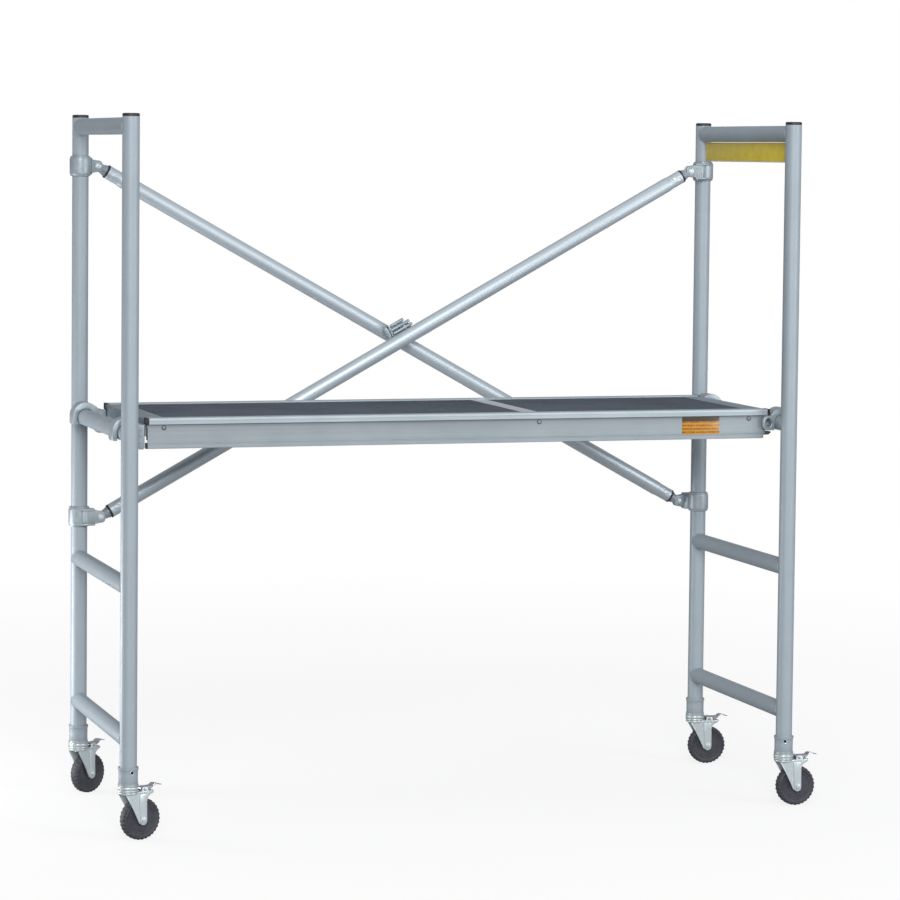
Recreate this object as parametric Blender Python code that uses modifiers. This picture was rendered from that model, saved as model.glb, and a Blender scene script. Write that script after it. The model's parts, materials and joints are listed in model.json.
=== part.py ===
"""Rolling work scaffold: two ladder end frames, a hook-on platform, an X brace and four braked casters.

Metres, +Z up. The floor is z = 0 and the origin is the middle of the object's footprint. +X runs along the
platform, and the X brace is on the +Y side. Stations written as left, right, front and rear are the axes of
the four uprights.
"""

import math

import bmesh
import bpy
from mathutils import Matrix, Vector

# Driving dimensions of the end frames
SPAN = 2.084  # between upright axes along X
DEPTH = 0.738  # between upright axes along Y
TUBE_RADIUS = 0.0254
TUBE_WALL = 0.002
FIRST_RUNG = 0.298
RUNG_PITCH = 0.449
RUNG_STEPS = (0, 1, 2, 4)  # no rung at step 3, so that people can step onto the platform
PLATFORM_STEP = 2
UPRIGHT_FOOT = 0.1726
UPRIGHT_TOP = 2.1220
CAP_TOP = 2.1310
GAP = 0.0004  # between pieces that touch
SIDES = 20

# X brace
BRACE_RADIUS = 0.0232
BRACE_OFFSET = 0.0330  # of each brace tube from the rear uprights' plane
PIVOT_REACH = 0.060  # of a brace pivot from its upright axis
PIVOT_HIGH = 1.9720
PIVOT_LOW = 0.8780
BRACE_SETBACK = 0.0375  # from a pivot to its tube end
COLLAR_HEIGHT = 0.064
COLLAR_RADIUS = 0.0335

# Platform, measured from the front upright axis in Y and from the rung axis in X and Z
BEAM_FACE = 0.060  # outer face of a side beam
LEFT_GAP = 0.0640  # from the left rung axis to the side beams
RIGHT_GAP = 0.0385  # from the side beams' top flanges to the right rung axis
RIGHT_COPE = 0.0195  # the web and bottom flange end this far short of the top flange on the right
BEAM_BOTTOM = -0.0490
BEAM_HEIGHT = 0.0905
TOP_FLANGE = 0.0190
FLANGE_WIDTH = 0.0400
LEDGE_WIDTH = 0.0530
DECK_RECESS = 0.0037
DECK_THICKNESS = 0.0105
END_MEMBER_WIDTH = 0.062
STRIP_STATION = 1.276  # joint strip centre, from the left rung axis
STRIP_WIDTH = 0.048
HOOK_FRONT = 0.0470
HOOK_WIDTH = 0.0580
HOOK_RADIUS = 0.0415
SHORT_HEEL = -0.0240  # underside of a right hook's heel

# Casters, measured from the swivel axis in X and Y and from the floor in Z
WHEEL_RADIUS = 0.0625
TRAIL = 0.040
LEG_INNER = 0.0195
LEG_THICKNESS = 0.0030
PLATE_LOW = 0.1405
PLATE_HIGH = 0.1458
PEDAL_PIVOT = (0.044, 0.1515)
PEDAL_TIP = 0.1120
PEDAL_HALF_WIDTH = 0.0135
RACE_RADIUS = 0.0312
SWIVEL_DEGREES = {"front_left": 18.0, "front_right": 0.0, "rear_left": 32.0, "rear_right": -6.0}

# The footprint reaches out to the hooks on the left, the rear right pedal on the right, the caster races
# at the front and the rear left pedal at the back
REAR_SWIVEL = math.radians(SWIVEL_DEGREES["rear_left"])
REAR_REACH = PEDAL_TIP * math.sin(REAR_SWIVEL) + PEDAL_HALF_WIDTH * math.cos(REAR_SWIVEL)
RIGHT_SWIVEL = math.radians(-SWIVEL_DEGREES["rear_right"])
RIGHT_REACH = PEDAL_TIP * math.cos(RIGHT_SWIVEL) + PEDAL_HALF_WIDTH * math.sin(RIGHT_SWIVEL)
LEFT = -SPAN / 2 + (HOOK_RADIUS - RIGHT_REACH) / 2
RIGHT = LEFT + SPAN
FRONT = -DEPTH / 2 + (RACE_RADIUS - REAR_REACH) / 2
REAR = FRONT + DEPTH
PLATFORM_RUNG = FIRST_RUNG + PLATFORM_STEP * RUNG_PITCH
BEAM_TOP = BEAM_BOTTOM + BEAM_HEIGHT

STATIONS = {
    "front_left": (LEFT, FRONT),
    "front_right": (RIGHT, FRONT),
    "rear_left": (LEFT, REAR),
    "rear_right": (RIGHT, REAR),
}
WELD = 0.000002


# Tools


def new_collection(name):
    collection = bpy.data.collections.new(name)
    bpy.context.scene.collection.children.link(collection)
    return collection


def new_material(name, colour, roughness, metallic):
    material = bpy.data.materials.new(name)
    material.use_nodes = True
    shader = material.node_tree.nodes["Principled BSDF"]
    shader.inputs["Base Color"].default_value = (*colour, 1.0)
    shader.inputs["Roughness"].default_value = roughness
    shader.inputs["Metallic"].default_value = metallic
    material.diffuse_color = (*colour, 1.0)
    return material


def worked_out(tool):
    """The tool object's mesh with its modifiers applied and its seams welded; the object is removed."""
    graph = bpy.context.evaluated_depsgraph_get()
    mesh = bpy.data.meshes.new_from_object(tool.evaluated_get(graph))
    shape = bmesh.new()
    shape.from_mesh(mesh)
    bmesh.ops.remove_doubles(shape, verts=shape.verts, dist=WELD)
    shape.to_mesh(mesh)
    shape.free()
    bpy.data.objects.remove(tool)
    return mesh


def tool_object(data):
    """A hidden working object that carries data while modifiers are worked out."""
    tool = bpy.data.objects.new("tool", data)
    tool.hide_render = True
    tool.display_type = "WIRE"
    cutters.objects.link(tool)
    return tool


def boolean(mesh, other, operation, solver="EXACT"):
    body = tool_object(mesh)
    partner = tool_object(other)
    modifier = body.modifiers.new("boolean", "BOOLEAN")
    modifier.operation = operation
    modifier.solver = solver
    modifier.object = partner
    result = worked_out(body)
    bpy.data.objects.remove(partner)
    return result


def cut(mesh, *cutting):
    for other in cutting:
        mesh = boolean(mesh, other, "DIFFERENCE")
    return mesh


def joined(mesh, *others):
    for other in others:
        mesh = boolean(mesh, other, "UNION")
    return mesh


def box(low, high):
    shape = bmesh.new()
    bmesh.ops.create_cube(shape, size=1.0)
    size = Vector(high) - Vector(low)
    bmesh.ops.scale(shape, vec=size, verts=shape.verts)
    bmesh.ops.translate(shape, vec=Vector(low) + size / 2, verts=shape.verts)
    mesh = bpy.data.meshes.new("box")
    shape.to_mesh(mesh)
    shape.free()
    return mesh


def along(start, end):
    """The matrix that lays +Z from the origin along start to end."""
    direction = Vector(end) - Vector(start)
    return Matrix.Translation(start) @ direction.to_track_quat("Z", "Y").to_matrix().to_4x4()


def rod(radius, start, end, sides=SIDES, capped=True):
    """A cylinder from start to end; uncapped, it is the skin that a tube's wall thickens."""
    length = (Vector(end) - Vector(start)).length
    shape = bmesh.new()
    bmesh.ops.create_cone(
        shape, cap_ends=capped, segments=sides, radius1=radius, radius2=radius, depth=length
    )
    bmesh.ops.translate(shape, vec=(0, 0, length / 2), verts=shape.verts)
    bmesh.ops.transform(shape, matrix=along(start, end), verts=shape.verts)
    mesh = bpy.data.meshes.new("rod")
    shape.to_mesh(mesh)
    shape.free()
    return mesh


def tube(radius, wall, start, end):
    skin = tool_object(rod(radius, start, end, capped=False))
    solidify = skin.modifiers.new("wall", "SOLIDIFY")
    solidify.thickness = wall
    solidify.offset = -1.0
    return worked_out(skin)


def turned(profile, sides=SIDES, ring=False):
    """A profile of (radius, height) points turned about Z: down its outer side, and closed if it is a ring."""
    points = [(radius, 0.0, height) for radius, height in profile]
    last = len(points) - 1
    edges = [(i, i + 1) for i in range(last)]
    if ring:
        edges.append((last, 0))
    mesh = bpy.data.meshes.new("profile")
    mesh.from_pydata(points, edges, [])
    tool = tool_object(mesh)
    screw = tool.modifiers.new("turn", "SCREW")
    screw.steps = sides
    screw.render_steps = sides
    screw.use_merge_vertices = True
    screw.merge_threshold = WELD
    return worked_out(tool)


def outline_solid(loops, thickness):
    """Flat loops in X and Y, the first one outside and the rest holes, thickened evenly about z = 0."""
    curve = bpy.data.curves.new("outline", "CURVE")
    curve.dimensions = "2D"
    curve.fill_mode = "BOTH"
    curve.extrude = thickness / 2
    for loop in loops:
        spline = curve.splines.new("POLY")
        spline.points.add(len(loop) - 1)
        for point, (x, y) in zip(spline.points, loop):
            point.co = (x, y, 0.0, 1.0)
        spline.use_cyclic_u = True
    return worked_out(tool_object(curve))


def upright_plate(loops, low, high):
    """Loops of (x, z) points made a plate that stands between y = low and y = high."""
    mesh = outline_solid(loops, high - low)
    mesh.transform(Matrix.Translation((0, (low + high) / 2, 0)) @ Matrix.Rotation(math.pi / 2, 4, "X"))
    return mesh


def arc(centre, radius, first, last, steps):
    """Points on an arc, with its angles in degrees."""
    angles = [math.radians(first + (last - first) * i / steps) for i in range(steps + 1)]
    return [(centre[0] + radius * math.cos(a), centre[1] + radius * math.sin(a)) for a in angles]


def moved(mesh, matrix):
    copy = mesh.copy()
    copy.transform(matrix)
    if matrix.determinant() < 0:
        copy.flip_normals()
    return copy


def place(name, mesh, material, location=(0, 0, 0), parent=None):
    """The part itself: its mesh in one material, round faces shaded smooth."""
    part = bpy.data.objects.new(name, mesh)
    mesh.materials.clear()
    mesh.materials.append(material)
    mesh.shade_smooth()
    mesh.set_sharp_from_angle(angle=math.radians(35))
    part.location = location
    part.parent = parent
    parts.objects.link(part)
    return part


# End frames


def upright_spaces():
    """Cutters that leave room for the uprights."""
    radius = TUBE_RADIUS + GAP
    return [rod(radius, (0, y, -1.0), (0, y, 1.0)) for y in (0.0, DEPTH)]


def make_frames():
    post = tube(TUBE_RADIUS, TUBE_WALL, (0, 0, UPRIGHT_FOOT), (0, 0, UPRIGHT_TOP))
    bore = TUBE_RADIUS - TUBE_WALL - 2 * GAP
    cap = turned(
        [
            (0, CAP_TOP),
            (0.0225, CAP_TOP),
            (TUBE_RADIUS, CAP_TOP - 0.0025),
            (TUBE_RADIUS, UPRIGHT_TOP + GAP),
            (bore, UPRIGHT_TOP + GAP),
            (bore, UPRIGHT_TOP - 0.016),
            (0, UPRIGHT_TOP - 0.016),
        ]
    )
    for station, (x, y) in STATIONS.items():
        place(f"upright_{station}", post.copy(), frame_metal, (x, y, 0))
        place(f"top_cap_{station}", cap.copy(), black_plastic, (x, y, 0))

    tip = 0.008  # a coped end stops this far short of the upright axis
    rung = cut(tube(TUBE_RADIUS, TUBE_WALL, (0, tip, 0), (0, DEPTH - tip, 0)), *upright_spaces())
    for side, x in (("left", LEFT), ("right", RIGHT)):
        for number, step in enumerate(RUNG_STEPS, start=1):
            height = FIRST_RUNG + step * RUNG_PITCH
            place(f"rung_{side}_{number}", rung.copy(), frame_metal, (x, FRONT, height))


# X brace


def collar_mesh():
    """A collar on a left upright whose clevis holds a pivot on its +X side, offset towards -Y."""
    half = COLLAR_HEIGHT / 2
    shoulder = COLLAR_RADIUS - 0.006
    barrel = turned(
        [
            (0, half),
            (shoulder, half),
            (COLLAR_RADIUS, half - 0.009),
            (COLLAR_RADIUS, 0.009 - half),
            (shoulder, -half),
            (0, -half),
        ]
    )
    tongue_half = 0.0065
    ear_thickness = 0.0050
    outer = -BRACE_OFFSET - tongue_half - ear_thickness
    block = box((0.004, outer + 0.0006, -0.0245), (0.038, -0.004, 0.0245))
    ear_outline = [(0.030, -0.0235), *arc((PIVOT_REACH, 0), 0.0145, -72, 72, 4), (0.030, 0.0235)]
    ears = [
        upright_plate([ear_outline], outer, outer + ear_thickness),
        upright_plate([ear_outline], -BRACE_OFFSET + tongue_half, -BRACE_OFFSET + tongue_half + ear_thickness),
    ]
    bore = rod(TUBE_RADIUS + 2 * GAP, (0, 0, -0.1), (0, 0, 0.1))
    pin_hole = rod(0.0054, (PIVOT_REACH, -0.1, 0), (PIVOT_REACH, 0.1, 0), sides=8)
    return cut(joined(barrel, block, *ears), bore, pin_hole)


def brace_end_mesh():
    """The fitting in a tube end: pin along Y at the origin, tongue and plug along +X."""
    tongue = upright_plate([[*arc((0, 0), 0.0140, 90, 270, 6), (0.034, -0.0165), (0.034, 0.0165)]], -0.006, 0.006)
    plug_radius = BRACE_RADIUS - TUBE_WALL - 2 * GAP
    plug = turned(
        [
            (0, 0.070),
            (plug_radius, 0.070),
            (plug_radius, BRACE_SETBACK - GAP),
            (BRACE_RADIUS - 0.001, BRACE_SETBACK - GAP),
            (BRACE_RADIUS - 0.001, 0.0310),
            (0, 0.0300),
        ],
        sides=16,
    )
    plug.transform(Matrix.Rotation(math.pi / 2, 4, "Y"))
    pin = turned(
        [
            (0, 0.0155),
            (0.0080, 0.0155),
            (0.0080, 0.0119),
            (0.0047, 0.0119),
            (0.0047, -0.0119),
            (0.0080, -0.0119),
            (0.0080, -0.0155),
            (0, -0.0155),
        ],
        sides=8,
    )
    pin.transform(Matrix.Rotation(math.pi / 2, 4, "X"))
    return joined(tongue, plug, pin)


def brace_ends():
    """Both tubes' pivots: the rear tube falls to the right, the front one rises to the right."""
    left, right = LEFT + PIVOT_REACH, RIGHT - PIVOT_REACH
    behind, before = REAR + BRACE_OFFSET, REAR - BRACE_OFFSET
    falling = (Vector((left, behind, PIVOT_HIGH)), Vector((right, behind, PIVOT_LOW)))
    rising = (Vector((left, before, PIVOT_LOW)), Vector((right, before, PIVOT_HIGH)))
    return {"falling": falling, "rising": rising}


def make_brace():
    ends = brace_ends()
    collar = collar_mesh()
    fitting = brace_end_mesh()
    mirror_x = Matrix.Scale(-1, 4, (1, 0, 0))
    mirror_y = Matrix.Scale(-1, 4, (0, 1, 0))
    for name, (start, end) in ends.items():
        run = (end - start).normalized()
        place(
            f"brace_tube_{name}",
            tube(BRACE_RADIUS, TUBE_WALL, start + run * BRACE_SETBACK, end - run * BRACE_SETBACK),
            brace_metal,
        )
        for side, x, pivot, way in (("left", LEFT, start, run), ("right", RIGHT, end, -run)):
            level = "high" if pivot.z > 1.5 else "low"
            turn = Matrix.Rotation(math.atan2(-way.z, way.x), 4, "Y")
            place(f"brace_end_{level}_{side}", moved(fitting, turn), cast_metal, pivot)
            shape = collar
            if side == "right":
                shape = moved(shape, mirror_x)
            if pivot.y > REAR:
                shape = moved(shape, mirror_y)
            place(f"collar_{level}_{side}", shape.copy(), cast_metal, (x, REAR, pivot.z))

    falling, rising = ends["falling"], ends["rising"]
    centre = (falling[0] + falling[1] + rising[0] + rising[1]) / 4
    tilt = math.atan2(PIVOT_HIGH - PIVOT_LOW, SPAN - 2 * PIVOT_REACH)
    saddle = rod(0.0230, (0, -0.0180, 0), (0, 0.0180, 0), sides=20)
    lock_outline = [(-0.030, 0.018), (0.050, 0.018), (0.052, 0.050), (0.040, 0.057), (-0.026, 0.057), (-0.032, 0.046)]
    lock = upright_plate([lock_outline], -0.0300, 0.0085)
    lock.transform(Matrix.Rotation(-tilt, 4, "Y"))
    tube_spaces = [
        rod(BRACE_RADIUS + 2 * GAP, start - centre, end - centre) for start, end in (falling, rising)
    ]
    place("cross_coupler", cut(joined(saddle, lock), *tube_spaces), cast_metal, centre)


# Platform


def beam_mesh():
    """A side beam's section, x inwards from its outer face and y up from its underside, run along the beam."""
    top_low = BEAM_HEIGHT - TOP_FLANGE
    outer = [
        (0.0010, 0.0),
        (0.0300, 0.0),
        (0.0300, 0.0140),
        (0.0060, 0.0140),
        (0.0060, top_low),
        (LEDGE_WIDTH, top_low),
        (LEDGE_WIDTH, BEAM_HEIGHT - DECK_RECESS - DECK_THICKNESS - GAP),
        (FLANGE_WIDTH, BEAM_HEIGHT - DECK_RECESS - DECK_THICKNESS - GAP),
        (FLANGE_WIDTH, BEAM_HEIGHT),
        (0.0015, BEAM_HEIGHT),
        (0.0, BEAM_HEIGHT - 0.0015),
        (0.0, top_low),
        (0.0030, top_low - 0.0020),
        (0.0030, 0.0150),
        (0.0010, 0.0135),
    ]
    chamber_low = top_low + 0.0025
    chamber_high = BEAM_HEIGHT - 0.0025
    top_chamber = [
        (0.0030, chamber_low),
        (FLANGE_WIDTH - 0.0025, chamber_low),
        (FLANGE_WIDTH - 0.0025, chamber_high),
        (0.0030, chamber_high),
    ]
    low_chamber = [(0.0035, 0.0025), (0.0275, 0.0025), (0.0275, 0.0115), (0.0035, 0.0115)]
    length = SPAN - LEFT_GAP - RIGHT_GAP
    mesh = outline_solid([outer, top_chamber, low_chamber], length)
    # section x becomes +Y, section y becomes +Z and the run becomes +X
    mesh.transform(Matrix(((0, 0, 1, 0), (1, 0, 0, 0), (0, 1, 0, 0), (0, 0, 0, 1))))
    cope = box((length / 2 - RIGHT_COPE, -0.01, -0.01), (length / 2 + 0.01, 0.1, top_low + 0.0002))
    return boolean(mesh, cope, "DIFFERENCE", "MANIFOLD")


def cross_member(width, height, inner_wall):
    """A member between the side beams: its top lies over the beams' ledges, and it is hollow below."""
    clear = DEPTH - 2 * BEAM_FACE
    over = clear / 2 - FLANGE_WIDTH - GAP
    under = clear / 2 - LEDGE_WIDTH - GAP
    ledge = BEAM_TOP - DECK_RECESS - DECK_THICKNESS
    top = BEAM_TOP - 0.0020
    section = [
        (-under, ledge - height),
        (under, ledge - height),
        (under, ledge),
        (over, ledge + 0.0003),
        (over, top),
        (-over, top),
        (-over, ledge + 0.0003),
        (-under, ledge),
    ]
    mesh = outline_solid([section], width)
    mesh.transform(Matrix(((0, 0, 1, 0), (1, 0, 0, 0), (0, 1, 0, 0), (0, 0, 0, 1))))
    hollow = box(
        (-width / 2 + inner_wall, -under + inner_wall, ledge - height - 0.01),
        (width / 2 - inner_wall, under - inner_wall, ledge - 0.001),
    )
    return cut(mesh, hollow)


def hook_outline(heel):
    """A claw over the rung with its heel profile, about the rung axis, +X towards the beam."""
    mouth = TUBE_RADIUS + 0.0008
    return [
        (-mouth, -0.0225),
        *arc((0, 0), mouth, 180, 0, 10),
        (mouth, -0.0225),
        *heel,
        (0.0050, 0.0465),
        *arc((0, 0.0050), HOOK_RADIUS, 97, 180, 6),
        (-HOOK_RADIUS, -0.0180),
        (-HOOK_RADIUS + 0.004, -0.0225),
    ]


def left_heel():
    """The whole height of the beam end."""
    back = LEFT_GAP - GAP
    lower = [(0.0302, -0.0280), (0.0302, -0.0370), (0.0400, BEAM_BOTTOM), (back, BEAM_BOTTOM)]
    return [*lower, (back, BEAM_TOP - 0.001), (0.0300, 0.0455)]


def right_heel():
    """A short heel on the beam's web, with the top flange running over it."""
    back, step = RIGHT_GAP + RIGHT_COPE - GAP, RIGHT_GAP - GAP
    shelf = BEAM_TOP - TOP_FLANGE - GAP
    lower = [(0.0300, SHORT_HEEL), (back, SHORT_HEEL), (back, shelf), (step, shelf)]
    return [*lower, (step, 0.0300), (0.0300, 0.0400)]


def hook_mesh(side, latched):
    """A latched hook has a slot for its latch; on the right the slot is in a guide behind the beam's web."""
    heel = right_heel() if side == "right" else left_heel()
    mesh = upright_plate([hook_outline(heel)], HOOK_FRONT, HOOK_FRONT + HOOK_WIDTH)
    if not latched:
        return mesh
    if side == "right":
        mesh = joined(mesh, box((0.0500, 0.0700, -0.0345), (0.0680, 0.0960, -0.0100)))
    return cut(mesh, box((0.0, 0.0735, -0.0402), (0.10, 0.0925, -0.0278)))


def latch_mesh():
    """A finger that slides under the rung, drawn back; its upturned tail is pushed by hand."""
    outline = [
        (0.0280, -0.0340),
        (0.0360, -0.0396),
        (0.0560, -0.0396),
        (0.0560, -0.0346),
        (0.1030, -0.0346),
        (0.1030, -0.0150),
        (0.0990, -0.0150),
        (0.0990, -0.0286),
        (0.0300, -0.0286),
        (0.0280, -0.0306),
    ]
    return upright_plate([outline], 0.0741, 0.0919)


def make_platform():
    mirror_y = Matrix.Scale(-1, 4, (0, 1, 0))
    start, end = LEFT + LEFT_GAP, RIGHT - RIGHT_GAP
    middle_y = (FRONT + REAR) / 2
    front_beam = moved(beam_mesh(), Matrix.Translation((0, BEAM_FACE - DEPTH / 2, BEAM_BOTTOM)))
    beam_spot = ((start + end) / 2, middle_y, PLATFORM_RUNG)
    place("side_beam_front", front_beam, beam_metal, beam_spot)
    place("side_beam_rear", moved(front_beam, mirror_y), beam_metal, beam_spot)

    end_member = cross_member(END_MEMBER_WIDTH, 0.0640, 0.0030)
    for side, x in (("left", start + END_MEMBER_WIDTH / 2), ("right", end - END_MEMBER_WIDTH / 2)):
        place(f"end_member_{side}", end_member.copy(), beam_metal, (x, middle_y, PLATFORM_RUNG))
    strip_x = LEFT + STRIP_STATION
    strip = cross_member(STRIP_WIDTH, 0.0300, 0.0030)
    place("deck_joint_strip", strip, beam_metal, (strip_x, middle_y, PLATFORM_RUNG))

    half_width = DEPTH / 2 - BEAM_FACE - FLANGE_WIDTH - GAP
    top = PLATFORM_RUNG + BEAM_TOP - DECK_RECESS
    strip_edge = STRIP_WIDTH / 2 + GAP
    for side, low, high in (
        ("left", start + END_MEMBER_WIDTH + GAP, strip_x - strip_edge),
        ("right", strip_x + strip_edge, end - END_MEMBER_WIDTH - GAP),
    ):
        panel = box(
            (-(high - low) / 2, -half_width, -DECK_THICKNESS),
            ((high - low) / 2, half_width, 0),
        )
        place(f"deck_panel_{side}", panel, deck_grey, ((low + high) / 2, middle_y, top))

    for station, (x, y) in STATIONS.items():
        latched = station in ("front_right", "rear_left")
        facing = Matrix.Identity(4)
        if x == RIGHT:
            facing = facing @ Matrix.Scale(-1, 4, (1, 0, 0))
        if y == REAR:
            facing = facing @ mirror_y
        hook = hook_mesh("right" if x == RIGHT else "left", latched)
        place(f"hook_{station}", moved(hook, facing), cast_metal, (x, y, PLATFORM_RUNG))
        if latched:
            place(f"latch_{station}", moved(latch_mesh(), facing), zinc, (x, y, PLATFORM_RUNG))


# Casters


def socket_mesh():
    """Sleeve for the upright, flange, ball race and the king pin that holds the fork, in one turned piece."""
    sleeve = TUBE_RADIUS + 0.0008
    return turned(
        [
            (0, UPRIGHT_FOOT - GAP),
            (sleeve, UPRIGHT_FOOT - GAP),
            (sleeve, 0.2195),
            (0.0300, 0.2195),
            (0.0300, 0.2125),
            (0.0282, 0.2110),
            (0.0282, 0.1710),
            (RACE_RADIUS, 0.1690),
            (RACE_RADIUS, 0.1465),
            (0.0080, 0.1465),
            (0.0080, 0.1398),
            (0.0120, 0.1398),
            (0.0120, 0.1345),
            (0, 0.1345),
        ],
        sides=16,
    )


def fork_mesh():
    """Swivel plate with a tongue, two tapering legs and two ears for the pedal pin."""
    half = LEG_INNER + LEG_THICKNESS
    edge = [(0.0820, 0.0130), (0.0770, 0.0180), (0.0500, half), (0.0200, half)]
    rim = arc((0, 0), 0.0300, 50, 310, 10)
    plate = outline_solid([[*edge, *rim, *[(x, -y) for x, y in reversed(edge)]]], PLATE_HIGH - PLATE_LOW)
    plate.transform(Matrix.Translation((0, 0, (PLATE_LOW + PLATE_HIGH) / 2)))
    leg = [
        (-0.0195, PLATE_HIGH - 0.0010),
        (-0.0180, 0.1370),
        (0.0250, 0.0530),
        *arc((TRAIL, WHEEL_RADIUS - 0.0035), 0.0132, 215, 325, 4),
        (0.0526, 0.0560),
        (0.0520, 0.1180),
        (0.0560, 0.1290),
        (0.0740, 0.1410),
        (0.0740, PLATE_HIGH - 0.0010),
        (0.0560, PLATE_HIGH - 0.0010),
        (0.0530, 0.1580),
        (0.0350, 0.1580),
        (0.0335, PLATE_HIGH - 0.0010),
    ]
    legs = [upright_plate([leg], LEG_INNER, half), upright_plate([leg], -half, -LEG_INNER)]
    king_pin_hole = rod(0.0086, (0, 0, 0.12), (0, 0, 0.16), sides=12)
    cam_slot = box((0.0415, -0.0105, 0.13), (0.0585, 0.0105, 0.15))
    pivot_x, pivot_z = PEDAL_PIVOT
    pedal_hole = rod(0.0038, (pivot_x, -0.1, pivot_z), (pivot_x, 0.1, pivot_z), sides=8)
    axle_hole = rod(0.0047, (TRAIL, -0.1, WHEEL_RADIUS), (TRAIL, 0.1, WHEEL_RADIUS), sides=8)
    return cut(joined(plate, *legs), king_pin_hole, cam_slot, pedal_hole, axle_hole)


def wheel_mesh():
    """Hub and tyre about Y; its outline has flats so that the lowest one lies on the floor."""
    outer = 1 / math.cos(math.pi / SIDES)
    half = [(0.0048, 0.0185), (0.0120, 0.0185), (0.0130, 0.0115), (0.0540, 0.0155), (WHEEL_RADIUS, 0.0100)]
    section = half + [(radius, -width) for radius, width in reversed(half)]
    profile = [(radius * outer if radius > 0.04 else radius, width) for radius, width in section]
    mesh = turned(profile, ring=True)
    mesh.transform(Matrix.Rotation(math.pi / 2, 4, "X") @ Matrix.Rotation(math.pi / SIDES, 4, "Z"))
    return mesh


def axle_mesh():
    half = LEG_INNER + LEG_THICKNESS
    mesh = turned(
        [
            (0, half + 0.0055),
            (0.0075, half + 0.0045),
            (0.0075, half + GAP),
            (0.0040, half + GAP),
            (0.0040, -half - GAP),
            (0.0075, -half - GAP),
            (0.0075, -half - 0.0045),
            (0, -half - 0.0055),
        ],
        sides=8,
    )
    mesh.transform(Matrix.Rotation(math.pi / 2, 4, "X"))
    return mesh


def pedal_mesh():
    """A foot lever about its pin along Y: plate with a hooded tip, barrel, and a cam over the wheel."""
    tip = PEDAL_TIP - PEDAL_PIVOT[0]
    lever = upright_plate(
        [
            [
                (-0.0100, 0.0040),
                (0.0350, 0.0040),
                (0.0415, 0.0105),
                (tip - 0.0010, 0.0045),
                (tip, 0.0065),
                (0.0430, 0.0134),
                (0.0370, 0.0128),
                (0.0320, 0.0066),
                (-0.0100, 0.0066),
            ]
        ],
        -PEDAL_HALF_WIDTH,
        PEDAL_HALF_WIDTH,
    )
    barrel = rod(0.0049, (0, -0.0188, 0), (0, 0.0188, 0), sides=8)
    pin = rod(0.0032, (0, -0.0248, 0), (0, 0.0248, 0), sides=8)
    cam = box((0.0020, -0.0080, -0.0240), (0.0105, 0.0080, 0.0010))
    return joined(lever, barrel, pin, cam)


def make_casters():
    socket, fork, wheel, axle, pedal = (
        socket_mesh(),
        fork_mesh(),
        wheel_mesh(),
        axle_mesh(),
        pedal_mesh(),
    )
    for station, (x, y) in STATIONS.items():
        place(f"caster_socket_{station}", socket.copy(), zinc, (x, y, 0))
        swivel = bpy.data.objects.new(f"swivel_axis_{station}", None)
        swivel.location = (x, y, 0)
        swivel.rotation_euler.z = math.radians(SWIVEL_DEGREES[station])
        parts.objects.link(swivel)
        place(f"caster_fork_{station}", fork.copy(), zinc, parent=swivel)
        place(f"wheel_{station}", wheel.copy(), rubber, (TRAIL, 0, WHEEL_RADIUS), swivel)
        place(f"wheel_axle_{station}", axle.copy(), zinc, (TRAIL, 0, WHEEL_RADIUS), swivel)
        place(f"brake_pedal_{station}", pedal.copy(), zinc, (PEDAL_PIVOT[0], 0, PEDAL_PIVOT[1]), swivel)


for old in list(bpy.data.objects):
    bpy.data.objects.remove(old)

parts = new_collection("baker_scaffold")
cutters = new_collection("cutters")
frame_metal = new_material("frame_metal", (0.44, 0.48, 0.52), 0.45, 0.6)
brace_metal = new_material("brace_metal", (0.60, 0.64, 0.69), 0.28, 0.9)
beam_metal = new_material("beam_metal", (0.56, 0.60, 0.64), 0.35, 0.8)
cast_metal = new_material("cast_metal", (0.42, 0.46, 0.50), 0.50, 0.7)
zinc = new_material("zinc", (0.62, 0.66, 0.68), 0.30, 0.9)
rubber = new_material("rubber", (0.05, 0.05, 0.06), 0.75, 0.0)
black_plastic = new_material("black_plastic", (0.02, 0.02, 0.02), 0.55, 0.0)
deck_grey = new_material("deck_grey", (0.08, 0.10, 0.12), 0.80, 0.0)

make_frames()
make_brace()
make_platform()
make_casters()
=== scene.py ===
"""Looks for the rolling work scaffold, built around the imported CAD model. Metres, +Z up, floor at z = 0."""

import json
import math

import bmesh
import bpy
from mathutils import Matrix, Vector


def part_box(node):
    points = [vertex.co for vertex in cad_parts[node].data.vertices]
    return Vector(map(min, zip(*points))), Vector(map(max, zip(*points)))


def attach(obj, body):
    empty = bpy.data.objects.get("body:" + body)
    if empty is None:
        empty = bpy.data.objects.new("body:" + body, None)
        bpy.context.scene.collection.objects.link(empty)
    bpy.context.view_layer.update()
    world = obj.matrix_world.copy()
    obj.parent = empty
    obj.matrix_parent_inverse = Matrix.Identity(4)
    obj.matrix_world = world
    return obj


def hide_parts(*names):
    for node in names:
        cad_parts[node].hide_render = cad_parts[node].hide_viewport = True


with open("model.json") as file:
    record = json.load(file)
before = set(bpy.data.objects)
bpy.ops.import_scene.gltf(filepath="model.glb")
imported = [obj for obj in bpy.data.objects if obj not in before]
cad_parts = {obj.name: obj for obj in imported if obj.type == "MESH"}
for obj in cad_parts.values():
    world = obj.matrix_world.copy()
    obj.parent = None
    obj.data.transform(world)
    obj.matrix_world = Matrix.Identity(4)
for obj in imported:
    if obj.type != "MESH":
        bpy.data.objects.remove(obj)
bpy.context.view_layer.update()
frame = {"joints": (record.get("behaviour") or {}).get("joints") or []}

scene = bpy.context.scene

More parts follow.
